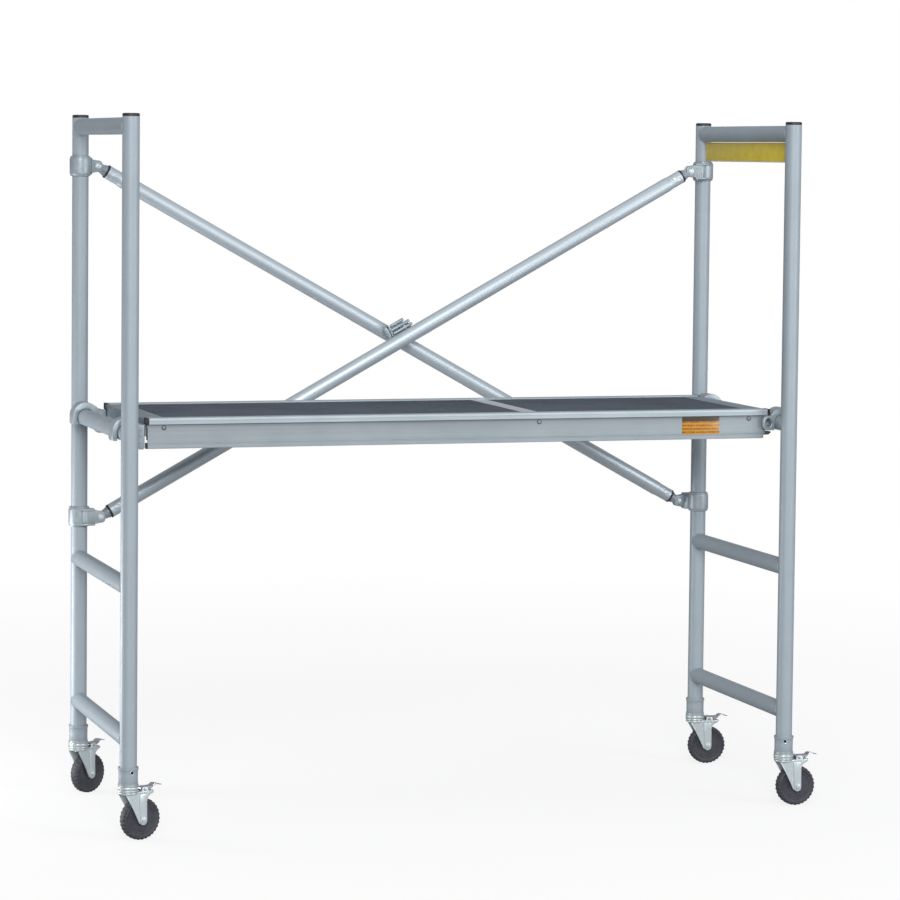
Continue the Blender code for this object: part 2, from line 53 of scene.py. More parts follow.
TUBE = 0.0254
TUBE_WALL = 0.002
BRACE_TUBE = 0.0232
BRACE_OFFSET = 0.033
PIVOT_REACH = 0.06
COLLAR = 0.0335
SIDES = 48
ROOT = "scaffold_frame"
PLATFORM = "platform"
STATIONS = ("front_left", "front_right", "rear_left", "rear_right")
TURN_UP = Matrix.Rotation(math.pi / 2, 4, "X")
TURN_ACROSS = Matrix.Rotation(math.pi / 2, 4, "Y")
ALONG_X = Matrix(((0, 0, 1, 0), (1, 0, 0, 0), (0, 1, 0, 0), (0, 0, 0, 1)))
MIRROR_X = Matrix.Scale(-1, 4, (1, 0, 0))
MIRROR_Y = Matrix.Scale(-1, 4, (0, 1, 0))


# Positions, from the CAD model


def middle(node):
    low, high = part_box(node)
    return (low + high) / 2


AXES = {station: middle(f"upright_{station}") for station in STATIONS}
LEFT, FRONT = AXES["front_left"].xy
RIGHT, REAR = AXES["rear_right"].xy
RUNG_HEIGHTS = [middle(f"rung_left_{number}").z for number in range(1, 5)]
PLATFORM_RUNG = RUNG_HEIGHTS[2]
SWIVELS = {}
for joint in frame["joints"]:
    if joint["name"].startswith("wheel_spin_"):
        SWIVELS[joint["child"].removeprefix("wheel_")] = math.atan2(-joint["axis"][0], joint["axis"][1])


# Shape tools


def loft(rings, wrap=False):
    """Rings of as many points each, joined in order; the ends are capped, or joined to wrap."""
    count = len(rings[0])
    faces = []
    for i in range(len(rings) if wrap else len(rings) - 1):
        here, there = i * count, (i + 1) % len(rings) * count
        for j in range(count):
            k = (j + 1) % count
            faces.append((here + j, here + k, there + k, there + j))
    if not wrap:
        faces.append(tuple(range(count)))
        faces.append(tuple(range((len(rings) - 1) * count, len(rings) * count)))
    mesh = bpy.data.meshes.new("loft")
    mesh.from_pydata([point for ring in rings for point in ring], [], faces)
    shape = bmesh.new()
    shape.from_mesh(mesh)
    bmesh.ops.recalc_face_normals(shape, faces=shape.faces)
    shape.to_mesh(mesh)
    shape.free()
    return mesh


def full_turn(count):
    return [2 * math.pi * i / count for i in range(count)]


def circle(radius, height, sides=SIDES):
    return [(radius * math.cos(a), radius * math.sin(a), height) for a in full_turn(sides)]


def arc(radius, first, last, step, x=0.0, y=0.0):
    """Points round (x, y) at angles in degrees, like a range."""
    turns = [math.radians(a) for a in range(first, last, step)]
    return [(x + radius * math.cos(a), y + radius * math.sin(a)) for a in turns]


def mirrored(points):
    """Points, then the same in reverse order with their second coordinates negated."""
    return [*points, *[(x, -y) for x, y in reversed(points)]]


def turned(profile, sides=SIDES, wrap=False):
    """A profile of (radius, height) points turned about Z, closed if it wraps."""
    return loft([circle(radius, height, sides) for radius, height in profile], wrap)


def rounded(points, radius, steps=3, closed=True):
    """An outline with each corner turned into a curve that starts at most radius away from it."""
    result = []
    count = len(points)
    for i, point in enumerate(points):
        if not closed and i in (0, count - 1):
            result.append(tuple(point))
            continue
        corner = Vector(point)
        before, after = Vector(points[i - 1]) - corner, Vector(points[(i + 1) % count]) - corner
        start = corner + before.normalized() * min(radius, before.length * 0.45)
        end = corner + after.normalized() * min(radius, after.length * 0.45)
        for step in range(steps + 1):
            t = step / steps
            result.append(tuple(start * (1 - t) ** 2 + corner * 2 * t * (1 - t) + end * t * t))
    return result


def inset(outline, distance):
    """A closed outline, anticlockwise, moved inwards by a small distance."""
    result = []
    for i, point in enumerate(outline):
        here = Vector(point)
        before = (here - Vector(outline[i - 1])).normalized()
        after = (Vector(outline[(i + 1) % len(outline)]) - here).normalized()
        normal = Vector((-before.y - after.y, before.x + after.x)).normalized()
        share = max(0.5, normal.dot(Vector((-after.y, after.x))))
        result.append(tuple(here + normal * distance / share))
    return result


def area(outline):
    return sum(a[0] * b[1] - b[0] * a[1] for a, b in zip(outline, outline[1:] + outline[:1])) / 2


def plate(outline, low, high, edge=0.0006):
    """An outline in X and Y between two heights, its edges rounded."""
    if area(outline) < 0:
        outline = outline[::-1]
    levels = [(edge, 0), (edge * 0.3, edge * 0.3), (0, edge)]
    sections = [(back, low + up) for back, up in levels]
    sections += [(back, high - up) for back, up in reversed(levels)]
    rings = []
    for back, height in sections:
        rings.append([(x, y, height) for x, y in (inset(outline, back) if back else outline)])
    return loft(rings)


def standing(outline, low, high, edge=0.0006):
    """The same with an outline in X and Z, between y = low and y = high."""
    return moved(plate(outline, -high, -low, edge), TURN_UP)


def moved(mesh, matrix):
    mesh = mesh.copy()
    mesh.transform(matrix)
    if matrix.determinant() < 0:
        mesh.flip_normals()
    return mesh


def shifted(mesh, x=0.0, y=0.0, z=0.0):
    return moved(mesh, Matrix.Translation((x, y, z)))


def along(start, end):
    """The matrix that lays +Z from the origin along start to end."""
    direction = Vector(end) - Vector(start)
    return Matrix.Translation(start) @ direction.to_track_quat("Z", "Y").to_matrix().to_4x4()


def rod(radius, start, end, sides=32, edge=0.0):
    """A cylinder from start to end, its rims rounded."""
    length = (Vector(end) - Vector(start)).length
    if edge:
        half = [(radius - edge, 0), (radius - edge * 0.3, edge * 0.3), (radius, edge)]
        profile = half + [(r, length - h) for r, h in reversed(half)]
    else:
        profile = [(radius, 0), (radius, length)]
    return moved(turned(profile, sides), along(start, end))


def oval(width, height, count=40):
    return [(width / 2 * math.cos(a), height / 2 * math.sin(a)) for a in full_turn(count)]


def hexagon(across, turn=0.0):
    corners = [math.radians(60 * i) + turn for i in range(6)]
    return [(across / math.sqrt(3) * math.cos(a), across / math.sqrt(3) * math.sin(a)) for a in corners]


def rectangle(x0, y0, x1, y1, radius=0.0, steps=3):
    corners = [(x0, y0), (x1, y0), (x1, y1), (x0, y1)]
    return rounded(corners, radius, steps) if radius else corners


def swept(path, across, radii, sides=10):
    """A closed bead along a closed path: across holds a direction square to the path at each point."""
    rings = []
    for i, point in enumerate(path):
        run = (path[(i + 1) % len(path)] - path[i - 1]).normalized()
        first = (across[i] - run * across[i].dot(run)).normalized()
        second = run.cross(first)
        spokes = [first * math.cos(a) + second * math.sin(a) for a in full_turn(sides)]
        rings.append([point + spoke * radii[i] for spoke in spokes])
    return loft(rings, wrap=True)


def boolean(mesh, other, operation):
    body = bpy.data.objects.new("boolean_body", mesh)
    partner = bpy.data.objects.new("boolean_partner", other)
    scene.collection.objects.link(body)
    scene.collection.objects.link(partner)
    modifier = body.modifiers.new("boolean", "BOOLEAN")
    modifier.operation = operation
    modifier.solver = "EXACT"
    modifier.object = partner
    result = bpy.data.meshes.new_from_object(body.evaluated_get(bpy.context.evaluated_depsgraph_get()))
    bpy.data.objects.remove(body)
    bpy.data.objects.remove(partner)
    return result


def joined(mesh, *others):
    for other in others:
        mesh = boolean(mesh, other, "UNION")
    return mesh


def cut(mesh, *others):
    for other in others:
        mesh = boolean(mesh, other, "DIFFERENCE")
    return mesh


def together(*meshes):
    """Separate shells that don't touch, kept in one mesh."""
    shape = bmesh.new()
    for mesh in meshes:
        shape.from_mesh(mesh)
    result = bpy.data.meshes.new("together")
    shape.to_mesh(result)
    shape.free()
    return result


# Materials


def add_node(material, kind, inputs, output=0, **settings):
    """A node with its inputs set to values or linked to sockets; returns one of its outputs."""
    tree = material.node_tree
    node = tree.nodes.new("ShaderNode" + kind)
    for name, value in settings.items():
        setattr(node, name, value)
    for name, value in inputs.items():
        if isinstance(value, bpy.types.NodeSocket):
            tree.links.new(value, node.inputs[name])
        else:
            node.inputs[name].default_value = value
    return node.outputs[output]


def place_in(material, stretch=(1, 1, 1)):
    """Object coordinates, scaled."""
    where = add_node(material, "TexCoord", {}, output=3)
    return add_node(material, "Mapping", {"Vector": where, "Scale": stretch})


def noise(material, scale, detail=3.0, stretch=(1, 1, 1), rough=0.55):
    inputs = {"Vector": place_in(material, stretch), "Scale": scale, "Detail": detail, "Roughness": rough}
    return add_node(material, "TexNoise", inputs)


def ramp(material, factor, stops):
    tree = material.node_tree
    node = tree.nodes.new("ShaderNodeValToRGB")
    tree.links.new(factor, node.inputs[0])
    while len(node.color_ramp.elements) < len(stops):
        node.color_ramp.elements.new(0.5)
    for element, (position, colour) in zip(node.color_ramp.elements, stops):
        element.position = position
        element.color = (*colour, 1.0) if isinstance(colour, tuple) else (colour, colour, colour, 1.0)
    return node.outputs[0]


def mixed(material, factor, first, second, blend="MIX"):
    first, second = ((*value, 1.0) if isinstance(value, tuple) else value for value in (first, second))
    inputs = {0: factor, 6: first, 7: second}
    return add_node(material, "Mix", inputs, output=2, data_type="RGBA", blend_type=blend)


def math_node(material, operation, first, second=0.5):
    return add_node(material, "Math", {0: first, 1: second}, operation=operation)


def weighted(material, first, first_share, second, second_share):
    """The sum of two tones, each with its share."""
    first = math_node(material, "MULTIPLY", first, first_share)
    return math_node(material, "ADD", first, math_node(material, "MULTIPLY", second, second_share))


def height_in(material):
    """The height above the piece's own origin."""
    where = add_node(material, "TexCoord", {}, output=3)
    return add_node(material, "SeparateXYZ", {"Vector": where}, output=2)


def bump(material, height, distance, strength=1.0):
    return add_node(material, "Bump", {"Height": height, "Distance": distance, "Strength": strength})


def new_material(name, metallic, coat=0.0, specular=0.5):
    material = bpy.data.materials.new(name)
    material.use_nodes = True
    inputs = material.node_tree.nodes["Principled BSDF"].inputs
    inputs["Metallic"].default_value = metallic
    inputs["Coat Weight"].default_value = coat
    inputs["Specular IOR Level"].default_value = specular
    return material


def wire(material, colour, roughness, normal):
    inputs = material.node_tree.nodes["Principled BSDF"].inputs
    for name, socket in (("Base Color", colour), ("Roughness", roughness), ("Normal", normal)):
        material.node_tree.links.new(socket, inputs[name])


def metal(name, dark, light, metallic, roughness, streak, grain, depth, specks=0.0, patchy=0.07):
    """A metal whose tone drifts between two colours, with streaks along one axis and a fine grain."""
    material = new_material(name, metallic)
    drift = noise(material, 9.0, 4.0)
    lines = noise(material, 1.0, 2.0, streak)
    tone = weighted(material, drift, 0.6, lines, 0.4)
    colour = ramp(material, tone, [(0.3, dark), (0.7, light)])
    if specks:
        spots = ramp(material, noise(material, 240.0, 2.0), [(0.3, 1.0), (0.36, 0.0)])
        spots = math_node(material, "MULTIPLY", spots, specks)
        colour = mixed(material, spots, colour, tuple(0.55 * c for c in dark))
    smudge = noise(material, 28.0, 5.0)
    worn = weighted(material, smudge, 0.5, lines, 0.5)
    sheen = ramp(material, worn, [(0.3, roughness - patchy), (0.7, roughness + patchy)])
    wire(material, colour, sheen, bump(material, noise(material, grain, 3.0), depth))
    return material


# Each: dark and light tone, metallic, roughness, stretch of its streaks, scale of its grain, depth of its
# bumps, share of specks and spread of its roughness.
paint = metal(
    "frame_tube_finish", (0.272, 0.318, 0.358), (0.306, 0.356, 0.4),
    0.15, 0.5, (160, 160, 2.5), 900.0, 0.00006, 0.2
)
brace = metal(
    "brace_tube_finish", (0.45, 0.51, 0.558), (0.49, 0.548, 0.598),
    0.55, 0.47, (90, 90, 2.0), 300.0, 0.000006, 0.04, 0.012
)
tread = metal(
    "tread_finish", (0.25, 0.3, 0.35), (0.33, 0.382, 0.43),
    0.5, 0.42, (500, 2.5, 500), 800.0, 0.00004, 0.15
)
bright = metal(
    "beam_edge_finish", (0.52, 0.565, 0.615), (0.61, 0.655, 0.7),
    0.45, 0.34, (2.5, 500, 500), 800.0, 0.00003, 0.1
)
cast = metal(
    "cast_finish", (0.225, 0.268, 0.302), (0.365, 0.418, 0.455),
    0.35, 0.44, (30, 30, 30), 420.0, 0.00018, 0.35
)
zinc = metal(
    "zinc_finish", (0.45, 0.508, 0.53), (0.59, 0.648, 0.665),
    0.45, 0.36, (120, 14, 120), 500.0, 0.00003, 0.03, 0.03
)
pedal_zinc = metal(
    "pedal_finish", (0.33, 0.325, 0.365), (0.5, 0.5, 0.545),
    0.75, 0.32, (90, 30, 90), 500.0, 0.00004, 0.15
)
dull = metal(
    "latch_finish", (0.085, 0.08, 0.075), (0.17, 0.16, 0.15),
    0.4, 0.42, (60, 60, 60), 500.0, 0.00004, 0.2
)


def make_beam(height):
    """Extrusion with painted shade and highlight: its web darkens towards the top flange, darkest just under
    it, and the flange face is painted lighter.
    """
    material = new_material("beam_finish", 0.35)
    drift = noise(material, 7.0, 4.0)
    lines = noise(material, 1.0, 2.0, (2.5, 420, 420))
    tone = weighted(material, drift, 0.5, lines, 0.5)
    colour = ramp(material, tone, [(0.3, (0.345, 0.402, 0.44)), (0.7, (0.4, 0.455, 0.492))])
    # Painted shade by height: darker up the web, darkest under the top flange's overhang; a painted highlight
    # lightens the flange itself
    level = math_node(material, "DIVIDE", height_in(material), height)
    painted_shade = ramp(material, level, [(0.1, 0.72), (0.3, 0.68), (0.66, 0.51), (0.775, 0.3), (0.8, 0.96)])
    colour = mixed(material, 1.0, colour, painted_shade, "MULTIPLY")
    colour = mixed(material, 1.0, colour, (1.08, 1.08, 1.08), "MULTIPLY")
    sheen = ramp(material, tone, [(0.3, 0.34), (0.7, 0.48)])
    wire(material, colour, sheen, bump(material, noise(material, 800.0, 3.0), 0.00004))
    return material


def make_rubber():
    material = new_material("tyre_finish", 0.0, specular=0.35)
    drift = noise(material, 30.0, 4.0)
    colour = ramp(material, drift, [(0.32, (0.03, 0.031, 0.04)), (0.68, (0.052, 0.053, 0.066))])
    dust = ramp(material, noise(material, 210.0, 4.0), [(0.55, 0.0), (0.75, 0.55)])
    colour = mixed(material, dust, colour, (0.105, 0.105, 0.118))
    sheen = ramp(material, drift, [(0.3, 0.52), (0.7, 0.72)])
    wire(material, colour, sheen, bump(material, noise(material, 1400.0, 3.0), 0.00008))
    return material


def make_black():
    material = new_material("black_plastic_finish", 0.0, specular=0.45)
    drift = noise(material, 60.0, 3.0)
    colour = ramp(material, drift, [(0.3, (0.01, 0.01, 0.011)), (0.7, (0.022, 0.022, 0.025))])
    sheen = ramp(material, drift, [(0.3, 0.38), (0.7, 0.58)])
    wire(material, colour, sheen, bump(material, noise(material, 1500.0, 2.0), 0.00006))
    return material


def make_deck():
    """Film-faced board: a blue and violet cast, a fine grit and a few scuffs."""
    material = new_material("deck_finish", 0.0, specular=0.12)
    drift = noise(material, 5.0, 4.0)
    tones = [(0.3, (0.066, 0.079, 0.104)), (0.5, (0.08, 0.096, 0.123)), (0.7, (0.091, 0.104, 0.138))]
    colour = ramp(material, drift, tones)
    grit = add_node(material, "TexVoronoi", {"Vector": place_in(material), "Scale": 700.0})
    light = ramp(material, grit, [(0.05, 0.4), (0.35, 0.0)])
    colour = mixed(material, light, colour, (0.15, 0.168, 0.205))
    smears = noise(material, 16.0, 6.0, (1.0, 5.0, 1.0), 0.7)
    scuffs = ramp(material, smears, [(0.58, 0.0), (0.72, 0.3)])
    colour = mixed(material, scuffs, colour, (0.14, 0.154, 0.18))
    sheen = ramp(material, noise(material, 40.0, 4.0), [(0.3, 0.62), (0.7, 0.82)])
    wire(material, colour, sheen, bump(material, grit, 0.00035, 0.8))
    return material


def make_yellow():
    """A tin plate gone slightly patchy, with small darker marks."""
    material = new_material("yellow_plate_finish", 0.0, coat=0.2)
    drift = noise(material, 26.0, 5.0)
    tones = [(0.3, (0.545, 0.405, 0.018)), (0.52, (0.62, 0.475, 0.026)), (0.72, (0.69, 0.535, 0.04))]
    colour = ramp(material, drift, tones)
    marks = ramp(material, noise(material, 85.0, 3.0, (1.0, 1.0, 0.6)), [(0.6, 0.0), (0.66, 0.35)])
    colour = mixed(material, marks, colour, (0.36, 0.275, 0.03))
    sheen = ramp(material, drift, [(0.3, 0.36), (0.7, 0.52)])
    wire(material, colour, sheen, bump(material, noise(material, 300.0, 3.0), 0.00006))
    return material


def make_orange(header):
    """A label with rows of plain dashes and a dark header band above a given height."""
    material = new_material("orange_label_finish", 0.0, coat=0.15)
    drift = noise(material, 60.0, 4.0)
    base = ramp(material, drift, [(0.3, (0.44, 0.18, 0.006)), (0.7, (0.52, 0.225, 0.008))])
    level = height_in(material)
    wave = math_node(material, "SINE", math_node(material, "MULTIPLY", level, 598.0))
    rows = math_node(material, "GREATER_THAN", wave, -0.1)
    dashes = math_node(material, "GREATER_THAN", noise(material, 1.0, 2.0, (330.0, 1.0, 95.0)), 0.43)
    blocks = math_node(material, "MULTIPLY", rows, dashes)
    blocks = math_node(material, "MULTIPLY", blocks, 0.72)
    base = mixed(material, blocks, base, (0.11, 0.055, 0.012))
    band = math_node(material, "GREATER_THAN", level, header)
    colour = mixed(material, band, base, (0.036, 0.022, 0.01))
    sheen = ramp(material, drift, [(0.3, 0.34), (0.7, 0.5)])
    wire(material, colour, sheen, bump(material, noise(material, 500.0, 2.0), 0.00004))
    return material


BEAM_LOW, BEAM_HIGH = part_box("side_beam_front")
BEAM_HEIGHT = BEAM_HIGH.z - BEAM_LOW.z
rubber, black, deck, yellow = make_rubber(), make_black(), make_deck(), make_yellow()
beam = make_beam(BEAM_HEIGHT)


def piece(name, mesh, material, body, nodes=(), matrix=None, angle=32):
    """A visible piece on a body, standing for some CAD nodes."""
    mesh = mesh.copy()
    mesh.materials.clear()
    mesh.materials.append(material)
    mesh.shade_smooth()
    mesh.set_sharp_from_angle(angle=math.radians(angle))
    made = bpy.data.objects.new(name, mesh)
    if matrix is not None:
        made.matrix_world = matrix
    scene.collection.objects.link(made)
    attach(made, body)
    if nodes:
        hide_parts(*nodes)
    return made


# End frames


LOCK_HEIGHT = 0.2055


def lock_hole():
    return rod(0.0044, (0, -0.04, LOCK_HEIGHT), (0, -0.01, LOCK_HEIGHT), 24)


def upright_mesh():
    low, high = (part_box("upright_front_left")[i].z for i in (0, 1))
    inner = TUBE - TUBE_WALL
    profile = [(TUBE, low), (TUBE, high - 0.0006), (TUBE - 0.0006, high), (inner, high), (inner, low)]
    return cut(turned(profile, 64, wrap=True), lock_hole())


def cap_mesh():
    low, high = (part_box("top_cap_front_left")[i].z for i in (0, 1))
    rim = high - 0.0088
    profile = [
        (0.018, low), (0.0218, low), (0.0224, low + 0.004), (0.0224, rim), (TUBE - 0.0002, rim),
        (TUBE, rim + 0.001), (TUBE, high - 0.0036), (TUBE - 0.0008, high - 0.0014),
        (TUBE - 0.0028, high - 0.0004), (0.018, high), (0.015, high - 0.0006), (0.002, high - 0.0006),
    ]
    return turned(profile)


def rung_mesh():
    """A coped tube between two uprights, its middle at the origin."""
    half = (REAR - FRONT) / 2

    def end_ring(radius, side):
        ring = []
        for x, z, _ in circle(radius, 0.0, 64):
            cope = math.sqrt(max((TUBE - 0.0006) ** 2 - x * x, 0.0))
            ring.append((x, side * (half - max(cope, 0.006)), z))
        return ring

    inner = TUBE - TUBE_WALL
    rings = [end_ring(TUBE, -1), end_ring(TUBE, 1), end_ring(inner, 1), end_ring(inner, -1)]
    return loft(rings, wrap=True)


def weld_mesh(side):
    """The rippled bead round one end of a rung."""
    half = (REAR - FRONT) / 2
    path, across, radii = [], [], []
    for a in full_turn(150):
        reach = math.sqrt((TUBE * math.sin(a)) ** 2 + 0.0085**2)
        path.append(Vector((TUBE * math.cos(a), side * (half - reach), TUBE * math.sin(a))))
        across.append(Vector((math.cos(a), 0, math.sin(a))))
        radii.append(0.0021 + 0.0003 * math.sin(a * 38))
    return swept(path, across, radii)


HOLE_TURN = {"front_left": 12.0, "front_right": -15.0, "rear_left": 168.0, "rear_right": 195.0}
post, cap = upright_mesh(), cap_mesh()
for station in STATIONS:
    x, y, _ = AXES[station]
    spot = Matrix.Translation((x, y, 0))
    turn = Matrix.Rotation(math.radians(HOLE_TURN[station]), 4, "Z")
    piece(f"post_{station}", moved(post, turn), paint, ROOT, [f"upright_{station}"], spot)
    piece(f"end_cap_{station}", cap, black, ROOT, [f"top_cap_{station}"], spot)

rung = rung_mesh()
welds = together(weld_mesh(-1), weld_mesh(1))
for side, x in (("left", LEFT), ("right", RIGHT)):
    for number, height in enumerate(RUNG_HEIGHTS, start=1):
        spot = Matrix.Translation((x, (FRONT + REAR) / 2, height))
        piece(f"step_{side}_{number}", rung, paint, ROOT, [f"rung_{side}_{number}"], spot)
        piece(f"welds_{side}_{number}", welds, paint, ROOT, (), spot)

PLATE_LOW = 2.005
PLATE_TOP = RUNG_HEIGHTS[3] - TUBE - 0.0012
near, far = FRONT + TUBE, REAR - TUBE
sign = plate(rectangle(near + 0.0015, PLATE_LOW, far - 0.0015, PLATE_TOP, 0.002), -0.0008, 0.0008, 0.0003)
hem = rectangle(near + 0.002, PLATE_LOW + 0.0002, far - 0.002, PLATE_LOW + 0.0032, 0.0012)
hem = plate(hem, -0.0016, 0.0016, 0.0005)
between_posts = Matrix.Translation((RIGHT, 0, 0)) @ ALONG_X
piece("yellow_plate", sign, yellow, ROOT, (), between_posts)
piece("yellow_plate_hem", hem, bright, ROOT, (), between_posts)


# X brace


def collar_shape():
    """The collar of a left upright whose clevis is on its +X side, offset towards -Y."""
    half = 0.032
    barrel = mirrored([(0.018, half), (0.0285, half), (COLLAR, half - 0.0085)])
    barrel = turned(rounded(barrel, 0.0042, 4, closed=False))
    lips = []
    for z in (-0.0276, 0.0276):
        lips.append(turned(rectangle(0.0262, z - 0.003, 0.0312, z + 0.003, 0.002), wrap=True))
    gap = 0.0065
    thick = 0.005
    outer = -BRACE_OFFSET - gap - thick
    boss = [(0.002, -0.003), (0.002, outer + 0.012), (0.014, outer), (0.0425, outer)]
    boss += [(0.0425, -0.0215), (0.032, -0.004)]
    boss = plate(rounded(boss, 0.007, 5), -0.0235, 0.0235, 0.0028)
    ear = rounded(mirrored([(0.03, -0.0235), (0.05, -0.0195), (0.0745, -0.016)]), 0.011, 6)
    ears = [standing(ear, y, y + thick, 0.0012) for y in (outer, -BRACE_OFFSET + gap)]
    ribs = []
    for i in range(4):
        x = 0.015 + 0.0075 * i
        ribs.append(rod(0.0019, (x, outer + 0.0004, -0.019), (x, outer + 0.0004, 0.019), 12, 0.0008))
    rim = [(-0.026, -0.023), (-0.002, outer + 0.004), (0.012, outer - 0.003)]
    rim += [(0.036, outer - 0.003), (0.043, outer - 0.0012), (0.043, -0.0215)]
    rim += [(0.032, -0.004), (0.0, 0.0)]
    for low in (-0.0262, 0.0198):
        lips.append(plate(rounded(rim, 0.006, 4), low, low + 0.0064, 0.0022))
    slot = plate(rectangle(0.044, -BRACE_OFFSET - gap, 0.09, -BRACE_OFFSET + gap), -0.05, 0.05, 0.0001)
    bore = rod(TUBE + 0.0006, (0, 0, -0.1), (0, 0, 0.1), SIDES)
    pin_hole = rod(0.0054, (PIVOT_REACH, -0.1, 0), (PIVOT_REACH, 0.1, 0), 24)
    return cut(joined(barrel, *lips, boss, *ears, *ribs), bore, pin_hole, slot)


def fitting_shape():
    """The fitting in a brace tube's end: pin along Y at the origin, tongue and ribbed body along +X."""
    tongue = rounded(mirrored([(-0.0138, -0.01), (0.006, -0.014), (0.03, -0.015)]), 0.01, 6)
    tongue = standing(tongue, -0.006, 0.006, 0.0012)
    profile = [(0.01, 0.016), (0.0135, 0.016), (0.015, 0.0175), (0.015, 0.019), (0.014, 0.02)]
    profile += [(0.0165, 0.0215), (0.0165, 0.0232), (0.0152, 0.0242), (0.0182, 0.0258), (0.0182, 0.0278)]
    profile += [(0.0168, 0.029), (0.0168, 0.0312), (0.01, 0.0312)]
    return joined(tongue, moved(turned(profile, 40), TURN_ACROSS))


def pin_shape():
    """A bolt through the clevis along Y, with washers, a domed head and a nut."""
    shank = rod(0.0047, (0, -0.015, 0), (0, 0.015, 0), 24)
    washers = [rod(0.0088, (0, y, 0), (0, y + 0.001, 0), 32, 0.0003) for y in (-0.013, 0.012)]
    head = [(0.0054, 0.0), (0.0058, 0.0006), (0.0055, 0.0014), (0.004, 0.0024), (0.0016, 0.0028)]
    head = moved(turned(head, 32), Matrix.Translation((0, -0.0128, 0)) @ TURN_UP)
    nut = standing(hexagon(0.0128), 0.0128, 0.0165, 0.0004)
    return joined(shank, *washers, head, nut)


def brace_tube_mesh(length):
    """A tube along +Z whose ends are drawn in and crimped."""
    count = 64
    shrink = 0.0016
    heights = [0.0, 0.0012, *[0.003 + 0.0018 * i for i in range(26)], 0.056]
    rings = []
    for end in (0, 1):
        for h in heights if end == 0 else reversed(heights):
            taper = min(1.0, max(0.0, (h - 0.042) / 0.012))
            taper = taper * taper * (3 - 2 * taper)
            ring = []
            for a in full_turn(count):
                radius = BRACE_TUBE - shrink * (1 - taper) - (0.0006 if h == 0 else 0.0)
                for level, turn in ((0.013, 0.0), (0.031, math.pi / 8)):
                    around = max(0.0, math.cos(8 * (a + turn))) ** 1.5
                    radius -= 0.0012 * around * math.exp(-(((h - level) / 0.0036) ** 2))
                ring.append((radius * math.cos(a), radius * math.sin(a), h if end == 0 else length - h))
            rings.append(ring)
    inner = BRACE_TUBE - TUBE_WALL - shrink
    rings.append(circle(inner, length, count))
    rings.append(circle(inner, 0.0, count))
    return loft(rings, wrap=True)


BRACE_ENDS = {}
for name, side_y, start_level, end_level in (("falling", 1, "high", "low"), ("rising", -1, "low", "high")):
    y = REAR + side_y * BRACE_OFFSET
    start = Vector((LEFT + PIVOT_REACH, y, middle(f"collar_{start_level}_left").z))
    end = Vector((RIGHT - PIVOT_REACH, y, middle(f"collar_{end_level}_right").z))
    BRACE_ENDS[name] = (start, end)

collar = collar_shape()
fitting = fitting_shape()
pin = pin_shape()
black_ring = turned(rectangle(0.015, 0.0316, 0.0219, 0.0372, 0.0012), wrap=True)
black_ring = moved(black_ring, TURN_ACROSS)
SETBACK = 0.0375
for name, (start, end) in BRACE_ENDS.items():
    run = (end - start).normalized()
    length = (end - start).length - 2 * SETBACK
    tube = brace_tube_mesh(length)
    piece(f"brace_bar_{name}", tube, brace, ROOT, [f"brace_tube_{name}"], along(start + run * SETBACK, end))
    for side, x, pivot, way in (("left", LEFT, start, run), ("right", RIGHT, end, -run)):
        level = "high" if pivot.z > 1.5 else "low"
        turn = Matrix.Translation(pivot) @ Matrix.Rotation(math.atan2(-way.z, way.x), 4, "Y")
        piece(f"brace_fitting_{level}_{side}", fitting, cast, ROOT, [f"brace_end_{level}_{side}"], turn)
        piece(f"brace_ring_{level}_{side}", black_ring, black, ROOT, (), turn)
        shape, bolt = collar, pin
        if side == "right":
            shape = moved(shape, MIRROR_X)
        if pivot.y > REAR:
            shape, bolt = moved(shape, MIRROR_Y), moved(bolt, MIRROR_Y)
        piece(f"brace_pin_{level}_{side}", bolt, zinc, ROOT, (), Matrix.Translation(pivot))
        place = Matrix.Translation((x, REAR, pivot.z))
        piece(f"clamp_collar_{level}_{side}", shape, cast, ROOT, [f"collar_{level}_{side}"], place)


def coupler_shape():
    """The lock between the brace tubes, with +X along the rising tube and +Z square to it."""
    saddle = rounded(rectangle(0.016, -0.018, 0.0225, 0.018), 0.003, closed=False)
    parts = [moved(turned(saddle), TURN_UP)]
    base = [(-0.03, 0.016), (0.05, 0.016), (0.052, 0.03), (0.03, 0.05), (-0.028, 0.05)]
    parts.append(standing(rounded(base, 0.004, 4), -0.018, 0.0085, 0.0015))
    bracket = [(-0.036, 0.022), (-0.027, 0.022), (-0.025, 0.062), (-0.036, 0.056)]
    parts.append(standing(rounded(bracket, 0.004, 4), -0.029, 0.0085, 0.0015))
    clip = [(-0.0225, 0.024), (-0.0165, 0.024), (-0.0145, 0.06), (-0.0205, 0.06)]
    parts.append(standing(rounded(clip, 0.003, 4), -0.0265, 0.004, 0.0012))
    bars = ((-0.012, 0.036, 0.0555), (-0.016, 0.052, 0.0425), (-0.014, 0.056, 0.0295))
    for first, last, height in bars:
        parts.append(rod(0.0051, (first, -0.0235, height), (last, -0.0235, height), 20, 0.0016))
    hole = rod(0.0036, (0.01, -0.05, 0.036), (0.01, -0.012, 0.036), 20)
    return cut(joined(*parts), hole)


